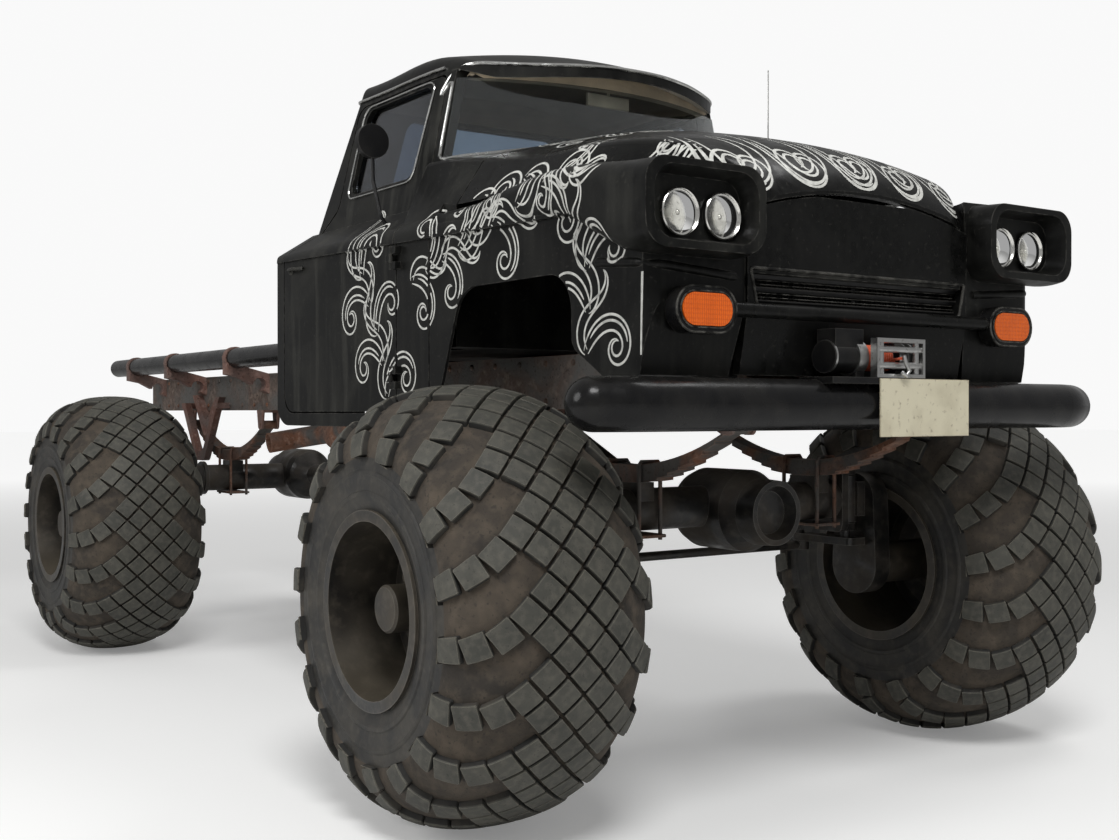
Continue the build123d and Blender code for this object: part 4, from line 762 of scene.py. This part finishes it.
def vine(lines, ray, start, heading, length, sway, count, size, way=1, inner=True):
    """Curled scrolls and S-shaped flames leaving a swaying path on alternate sides."""
    stem = clothoid(start[0], start[1], heading, length, sway, -sway)
    for k in range(count):
        x, y, angle = stem[int((k + 0.4) / count * (len(stem) - 1))]
        turn = way if k % 2 else -way
        curl = math.degrees(angle) + turn * 18
        tendril(lines, ray, x, y, curl, size * (1.5 - 0.12 * (k % 3)), turn * 1.8 / size, turn * 13 / size,
                size * 0.16, inner)
        lick = math.degrees(angle) - turn * 64
        tendril(lines, ray, x, y, lick, size * 1.05, turn * 5 / size, -turn * 11 / size, size * 0.13)


def scrolls_on_side(lines, way):
    """Flame-like scrolls along the door's front, the cowl and the fender's flank."""
    ray = from_side(way)
    vine(lines, ray, (-1.0, 1.38), 97, 0.7, 1.2, 5, 0.36)
    vine(lines, ray, (-0.84, 1.86), 26, 0.5, -1.2, 4, 0.32)
    vine(lines, ray, (-0.42, 2.03), -3, 0.92, 0.8, 5, 0.32, -1)
    vine(lines, ray, (0.36, 1.5), 76, 0.42, 1.5, 3, 0.32)
    vine(lines, ray, (-0.3, 2.22), 3, 0.8, -0.7, 4, 0.24)


def scrolls_on_hood(lines):
    """Mirrored scrolls standing on the hood's front slope, and vines over its top and the pods."""
    for mirror in (1, -1):
        def slope(p, mirror=mirror):
            return from_front((p[0] * mirror, p[1]))

        def top(p, mirror=mirror):
            return from_top((p[0], p[1] * mirror))
        lines.only = "engine_hood"
        for k in range(5):
            y, turn = 0.06 + 0.125 * k, 1 if k % 2 else -1
            z = 2.34 - 0.16 * y * y
            tendril(lines, slope, y, z, -90 - turn * 30, 0.5, turn * 6, turn * 38, 0.046, k % 2 == 0)
        vine(lines, top, (0.06, 0.16), 168, 0.5, 0.7, 3, 0.26, 1, False)
        vine(lines, top, (0.02, 0.42), 173, 0.5, -0.7, 3, 0.24, -1, False)
        lines.only = "chassis"
        vine(lines, top, (0.66, 0.8), 176, 0.7, 0.5, 4, 0.2)
        lines.only = None


def paint_lines():
    lines = Lines()
    for _, way in SIDES:
        scrolls_on_side(lines, way)
        # Thin pale upright line near each fender's front corner: a painted highlight of that edge, drawn in
        # the line paint.
        lines.draw([(0.655, 1.5), (0.66, 1.79)], from_side(way), taper=False)
    scrolls_on_hood(lines)
    lines.pieces("paint_lines", LINE)


def rounded(points, radius, steps=6):
    """Closed outline with its corners rounded."""
    made = []
    count = len(points)
    for i in range(count):
        before, corner, after = (Vector(points[(i + k) % count]) for k in (-1, 0, 1))
        first = corner + (before - corner).normalized() * radius
        last = corner + (after - corner).normalized() * radius
        for k in range(steps + 1):
            t = k / steps
            made.append(tuple(first * (1 - t) ** 2 + corner * 2 * t * (1 - t) + last * t ** 2))
    return made + made[:1]


def bead(parts, points, ray, radius, sink=0.0):
    """Round bead laid on the skin along a path."""
    hits = [SKIN.hit(*ray(p)) for p in resampled(points, 0.015)]
    line = [h[1] + h[2] * (radius - sink) for h in hits if h]
    if len(line) > 1:
        parts.tube(line, radius)


def on_arc(arc, y):
    """x, from the front axle, of a bow in plan whose foremost point is at arc["x"]."""
    return arc["x"] - arc["r"] + math.sqrt(arc["r"] ** 2 - y * y)


def brow_edge(y):
    """Upper edge of the brow's front lip at y."""
    arc = on_arc(BROW_ARC, y)
    last = None
    for z in np.arange(2.62, 2.9, 0.002):
        hit = SKIN.hit(at(0.5, y, z), Vector((-1, 0, 0)))
        if hit and hit[1].x > AXLE_X + arc - 0.05:
            if hit[2].z > 0.6:
                break
            last = hit[1]
    return last


def trims():
    """Bright trim round the windshield, a bright bead along the brow's lip that is a painted highlight of
    that edge, and pale seals and drip rails at the doors.
    """
    seals = {"chassis": Parts(), "side_door_left": Parts(), "side_door_right": Parts()}
    window = rounded([(-1.69, 2.328), (-1.632, 2.742), (-0.996, 2.742), (-1.078, 2.328)], 0.06)
    posts = []
    for name, way in SIDES:
        ray = from_side(way)
        bead(seals["side_door_" + name], window, ray, 0.0045, sink=0.001)
        bead(seals["chassis"], [(-1.86, 2.55), (-1.78, 2.785), (-0.95, 2.785)], ray, 0.006)
        hits = [SKIN.hit(*ray((-0.883, z))) for z in np.arange(2.4, 2.73, 0.03)]
        posts.append([h[1] for h in hits if h])
    # Points along the brow's lip that carry a bright bead: a painted highlight of the lip's edge.
    brow = [p for p in (brow_edge(y) for y in np.arange(0.72, -0.721, -0.03)) if p]
    path = list(posts[0])
    for first, last, way in ((posts[0][-1], brow[0], 1), (brow[-1], posts[1][-1], -1)):
        away = Vector((0.5, way * 0.6, 0.6)).normalized()
        bend = [SKIN.hit(first.lerp(last, t) + away * 0.3, -away) for t in (0.2, 0.4, 0.6, 0.8)]
        path += [h[1] for h in bend if h] + (brow if way > 0 else [])
    path += posts[1][::-1]
    foot = []
    for y in np.arange(-0.78, 0.781, 0.04):
        hit = SKIN.hit(at(on_arc(WINDSHIELD_ARC, y) + 0.012, y, 2.62), Vector((0, 0, -1)))
        if hit:
            foot.append(hit[1] + Vector((0, 0, 0.003)))
    path += foot
    smooth = [(path[i - 1] + path[i] * 2 + path[(i + 1) % len(path)]) / 4 for i in range(len(path))]
    smooth = resampled([tuple(p) for p in smooth + smooth[:1]], 0.02)
    seals["chassis"].tube(smooth, 0.0075)
    for body, parts in seals.items():
        parts.piece("seals_" + body, [CHROME], body, slot="mirror_silver")


def lining(name, node, test, lift, material):
    """Thin cover over those faces of a node that a test picks."""
    mesh = NODES[node].data
    parts = Parts()
    for face in mesh.polygons:
        if test(face.center, face.normal):
            corners = [mesh.vertices[i].co + face.normal * lift for i in face.vertices]
            parts.add(corners, [tuple(range(len(corners)))])
    parts.piece(name, [material], "chassis")


def inner_roof():
    """Test for the roof's faces that look into the cab or at the brow's inside."""
    tree = tree_of("cab_roof")
    return lambda c, n: n.z < -0.2 or (c.z > 2.6 and tree.ray_cast(c + n * 0.004, n, 0.6)[0] is not None)


# Front gear
def stadium(x, y, z, width, height, steps=14):
    """Closed outline of a flat-sided oval in the plane of x."""
    r, flat = height / 2, (width - height) / 2
    points = []
    for way, start in ((1, -90), (-1, 90)):
        for i in range(steps + 1):
            a = math.radians(start + 180 * i / steps)
            points.append(at(x, y + way * flat + r * math.cos(a), z + r * math.sin(a)))
    return points + points[:1]


def radiator():
    """Finned core, and dark plates beside it that fill the gaps by the front panel as painted shade."""
    core = Parts()
    core.block(at(0.56, -0.52, 1.5), at(0.6, 0.52, 1.96))
    for k in range(40):
        y = -0.5 + k * 0.0256
        core.block(at(0.6, y, 1.52), at(0.606, y + 0.006, 1.94), 0, 0.001)
    # Dark plates behind the gaps between the front panel and the fenders: sheets that stand in for the shade
    # there.
    for _, way in SIDES:
        for reach, low, high in ((0.6, 1.68, 1.98), (0.67, 1.44, 1.68)):
            y = sorted((way * 0.5, way * reach))
            core.block(at(0.604, y[0], low), at(0.612, y[1], high))
    core.piece("radiator", [TRIM], "chassis", slot="trim_black")


def grille_lips():
    """Lip of the grille's mouth, its louvres, and the rims of the signal bezels."""
    worn = Parts()
    mouth = [(-0.528, 1.825), (0.528, 1.825), (0.498, 1.703), (-0.498, 1.703)]
    worn.tube([at(0.7, y, z) for y, z in rounded(mouth, 0.014)], 0.0055)
    worn.block(at(0.684, -0.515, 1.806), at(0.696, 0.515, 1.822), 0, 0.003)
    for z in (1.712, 1.735, 1.748, 1.777, 1.79):
        worn.block(at(0.655, -0.505, z - 0.0016), at(0.668, 0.505, z + 0.0016), 0, 0.001)
    for _, way in SIDES:
        for inset, width, height, radius in ((0.006, 0.243, 0.141, 0.0035), (0.004, 0.212, 0.112, 0.003)):
            rim = stadium(SIGNAL["x"] - inset, way * SIGNAL["y"], SIGNAL["z"], width, height)
            worn.tube(rim, radius)
    worn.piece("grille_lips", [WORN_AND_GLINTING], "chassis", slot="trim_black")


def winch_gear():
    """Bright bands and rollers, the wound rope, and its hook in front of the fairlead."""
    x, z = WINCH["x"], WINCH["z"]
    steel = Parts()
    bands = [(-0.131, 0.042, 0.0545, 0.0615)] + [(y, 0.008, 0.05, 0.0555) for y in (-0.236, 0.108, 0.144)]
    for y, wide, inner, outer in bands:
        steel.lathe([(y, inner), (y, outer), (y + wide, outer), (y + wide, inner)],
                    at(x, 0, z), (0, 1, 0), 0, 48, True)
    for y in (-0.06, 0.114):
        steel.lathe([(-0.035, 0.002), (-0.035, 0.0105), (0.035, 0.0105), (0.035, 0.002)],
                    at(FAIRLEAD_X, y, z), (0, 0, 1), 0, 20)
    for z_roller in (1.518, 1.572):
        steel.lathe([(-0.088, 0.002), (-0.088, 0.0118), (0.136, 0.0118), (0.136, 0.002)],
                    at(FAIRLEAD_X, 0, z_roller), (0, 1, 0), 0, 24)
    steel.piece("winch_steel", [STEEL], "chassis", slot="mirror_silver")
    lining("fairlead_steel", "winch", lambda c, n: c.x > AXLE_X + 0.80, 0.0006, STEEL)
    rope = Parts()
    turns, steps, wound = 13, 24, 0.0395
    wraps = [at(x + wound * math.cos(a), -0.082 + 0.138 * a / (2 * turns * math.pi), z + wound * math.sin(a))
             for a in (k * math.pi / 12 for k in range(turns * steps + 1))]
    rope.tube(wraps, 0.0052, 0, 6)
    rope.tube([at(x + 0.03, 0.03, z - 0.03), at(0.8, 0.03, z - 0.006), at(0.85, 0.03, z - 0.002)],
              0.005, 0, 8)
    rope.piece("winch_rope", [ROPE], "chassis")
    hook = Parts()
    bend = ((0.848, 0.03, 0.004), (0.856, 0.03, -0.02), (0.858, 0.045, -0.045), (0.858, 0.03, -0.062),
            (0.858, 0.01, -0.052))
    hook.tube([at(p, y, z + rise) for p, y, rise in bend], 0.0075, 0, 10)
    hook.piece("winch_hook", [STEEL], "chassis")


def under_gear():
    """U-bolts and plates at the springs, and rivets along the rails."""
    parts = Parts()
    for x0, tube_z in ((0.0, SPRING_AXLE_Z["front"]), (REAR_X - AXLE_X, SPRING_AXLE_Z["rear"])):
        foot, top = tube_z - 0.105, tube_z + 0.078 + 0.025 + 0.063
        for _, way in SIDES:
            y = way * SPRING_Y
            for x in (x0 - 0.092, x0 + 0.092):
                legs = [at(x, y - 0.049, foot), at(x, y - 0.049, top), at(x, y - 0.04, top + 0.012),
                        at(x, y + 0.04, top + 0.012), at(x, y + 0.049, top), at(x, y + 0.049, foot)]
                parts.tube(legs, 0.008, 0, 10)
            parts.block(at(x0 - 0.112, y - 0.062, tube_z - 0.096), at(x0 + 0.112, y + 0.062, tube_z - 0.084))
    for _, way in SIDES:
        for x in np.arange(-5.3, 0.5, 0.19):
            for z in (1.405, 1.555):
                parts.lathe([(0, 0.013), (0.004, 0.0115), (0.0075, 0.007), (0.0085, 0.001)],
                            at(x, way * RAIL_FACE_Y, z), (0, way, 0), 0, 12)
    parts.piece("springs_and_rivets", [RUST], "chassis", slot="rusty_steel")


def door_furniture():
    """Pull handle near each door's rear edge."""
    for name, way in SIDES:
        hits = [SKIN.hit(*from_side(way)((x, 2.02))) for x in (-1.97, -1.93, -1.87, -1.83)]
        if any(h is None for h in hits):
            continue
        parts = Parts()
        rise = (0.0, 0.03, 0.03, 0.004)
        parts.tube([h[1] + Vector((0, way * r, 0)) for h, r in zip(hits, rise)], 0.0085, 0, 10)
        parts.lathe([(0, 0.02), (0.006, 0.018), (0.009, 0.012), (0.009, 0.001)], hits[0][1], (0, way, 0),
                    0, 20)
        parts.piece("door_handle_" + name, [WORN_AND_GLINTING], "side_door_" + name, slot="trim_black")


# Lamps
def lamps():
    """Four domed lenses, each over a bowl with a bright rim and a bulb's cap."""
    glass_parts, bowls = Parts(), Parts()
    for _, way in SIDES:
        for spot in (-1, 1):
            middle = at(LAMP["x"], way * (LAMP["y"] + spot * LAMP["spread"]), LAMP["z"])
            r = LAMP["r"]
            bowl = [(-0.036, 0.001), (-0.035, 0.02), (-0.026, 0.042), (-0.012, 0.057), (-0.002, r - 0.004),
                    (0.002, r - 0.002), (0.006, r + 0.0025), (0.003, r + 0.006), (-0.006, r + 0.0045),
                    (-0.012, r - 0.003)]
            cap = [(-0.036, 0.006), (-0.02, 0.009), (-0.012, 0.009), (-0.007, 0.005), (-0.006, 0.001)]
            bowls.lathe(bowl, middle, (1, 0, 0), 0, 64)
            bowls.lathe(cap, middle, (1, 0, 0), 0, 24)
            dome = [(0.0155 * (1 - (k / 10) ** 2), (r - 0.003) * max(k / 10, 0.01)) for k in range(11)]
            back = [(a - 0.0035, b) for a, b in reversed(dome)]
            glass_parts.lathe(dome + back, middle, (1, 0, 0), 0, 64)
    glass_parts.piece("lamp_lenses", [LENS], "chassis", replaces=("headlights",), slot="lamp_glass")
    bowls.piece("lamp_bowls", [REFLECTOR], "chassis", slot="mirror_silver")


# Seat
def pad(low, high, lean=0.0):
    """Crowned bench pad with sewn channels across it; lean moves its top rearwards."""
    rows, columns = 14, 66
    size = high - low
    parts = Parts()
    for way in (1, -1):
        verts = []
        for i in range(rows + 1):
            for j in range(columns + 1):
                u, v = i / rows, j / columns
                edge = (1 - abs(2 * u - 1) ** 6) * (1 - abs(2 * v - 1) ** 14)
                channel = 1 - 0.16 * math.exp(-((v * 10) % 1 - 0.5) ** 2 / 0.003)
                verts.append((u, v, way * edge ** 0.5 * channel))
        made = []
        for u, v, t in verts:
            if lean:
                z = low.z + size.z * u
                x = low.x + size.x / 2 + size.x / 2 * t * 0.62 - lean * u + lean / 2
                made.append((x, low.y + size.y * v, z))
            else:
                made.append((low.x + size.x * u, low.y + size.y * v, low.z + size.z * (0.5 + 0.5 * t)))
        faces = [(i * (columns + 1) + j, i * (columns + 1) + j + 1, (i + 1) * (columns + 1) + j + 1,
                  (i + 1) * (columns + 1) + j) for i in range(rows) for j in range(columns)]
        parts.add(made, faces if way < 0 else [tuple(reversed(f)) for f in faces])
    return parts


def seats():
    low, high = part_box("seat")
    cushion = pad(Vector((low.x + 0.17, low.y, low.z)), Vector((high.x, high.y, low.z + 0.235)))
    back = pad(Vector((low.x, low.y, low.z + 0.1)), Vector((low.x + 0.16, high.y, high.z)), 0.06)
    for name, parts in (("seat_cushion", cushion), ("seat_back", back)):
        made = parts.piece(name, [SEAT], "chassis", slot="seat_cover", replaces=("seat",))


# Stage
def light(name, spot, target, size, power):
    data = bpy.data.lights.new(name, "AREA")
    data.shape, data.size, data.energy = "DISK", size, power
    lamp = bpy.data.objects.new(name, data)
    lamp.location = spot
    lamp.rotation_euler = (Vector(target) - Vector(spot)).to_track_quat("-Z", "Y").to_euler()
    bpy.context.scene.collection.objects.link(lamp)


def camera():
    """The photograph's view: low at the right front corner."""
    data = bpy.data.cameras.new("photo_camera")
    data.sensor_width, data.lens = 36.0, 42.49
    data.clip_end = 200
    made = bpy.data.objects.new("photo_camera", data)
    made.location = at(3.809, -3.438, 1.3621)
    yaw, pitch = math.radians(34.89), math.radians(-0.34)
    way = Vector((-math.cos(yaw) * math.cos(pitch), math.sin(yaw) * math.cos(pitch), math.sin(pitch)))
    made.rotation_euler = way.to_track_quat("-Z", "Y").to_euler()
    bpy.context.scene.collection.objects.link(made)
    bpy.context.scene.camera = made


def pale_floor():
    corners = [(-90, -90, 0), (90, -90, 0), (90, 90, 0), (-90, 90, 0)]
    floor = new_object("floor", corners, [(0, 1, 2, 3)], [], smooth=False)
    pale = Finish("floor_pale", (0.88, 0.88, 0.87), 0.9, Emission_Color=(1, 1, 1, 1))
    pale.tint(pale.noise(0.7, 0.3, 0.7), (0.86, 0.86, 0.85), 0.5)
    seen = pale.node("ShaderNodeLightPath").outputs["Is Camera Ray"]
    away = pale.node("ShaderNodeVectorMath", operation="LENGTH")
    pale.link(pale.coords, away.inputs[0])
    lift = pale.math("ADD", pale.math("MULTIPLY", pale.spread(away.outputs["Value"], 6.0, 22.0), 0.45), 0.2)
    pale.link(pale.math("MULTIPLY", seen, lift), pale.shader.inputs["Emission Strength"])
    floor.data.materials.append(pale.done())


def world():
    """White round about, dimmer as a light and in reflections than where it is seen."""
    made = bpy.data.worlds.new("studio")
    bpy.context.scene.world = made
    made.use_nodes = True
    tree = made.node_tree
    path = tree.nodes.new("ShaderNodeLightPath")
    value = None
    for ray, share in (("Is Camera Ray", 0.65), ("Is Transmission Ray", 0.45), ("Is Glossy Ray", 0.05)):
        scaled = tree.nodes.new("ShaderNodeMath")
        scaled.operation = "MULTIPLY_ADD"
        tree.links.new(path.outputs[ray], scaled.inputs[0])
        scaled.inputs[1].default_value = share
        scaled.inputs[2].default_value = 0.3
        if value is not None:
            tree.links.new(value, scaled.inputs[2])
        value = scaled.outputs[0]
    background = tree.nodes["Background"]
    background.inputs["Color"].default_value = (1, 1, 1, 1)
    tree.links.new(value, background.inputs["Strength"])


tyres()
paint_lines()
trims()
inner = inner_roof()
headliner_x = AXLE_X + HEADLINER_FRONT_X
# The roof's inside behind the brow gets the darker copy of the tan cloth, as painted shade.
lining("headliner", "cab_roof", lambda c, n: inner(c, n) and c.x < headliner_x, 0.0015, SHADED_HEADLINER)
lining("brow_lining", "cab_roof", lambda c, n: inner(c, n) and c.x >= headliner_x, 0.0015, BROW)
radiator()
grille_lips()
winch_gear()
under_gear()
door_furniture()
lamps()
seats()
camera()
pale_floor()
world()
light("key", at(5.5, -4.0, 9.5), at(0, 0, 1.2), 4.0, 620)
light("side", at(-1.5, -8.0, 4.5), at(-1.5, 0, 1.2), 4.0, 190)
light("fill", at(1.0, 5.0, 11.0), at(0, 0, 1.2), 4.0, 200)
bpy.context.scene.view_settings.view_transform = "Standard"
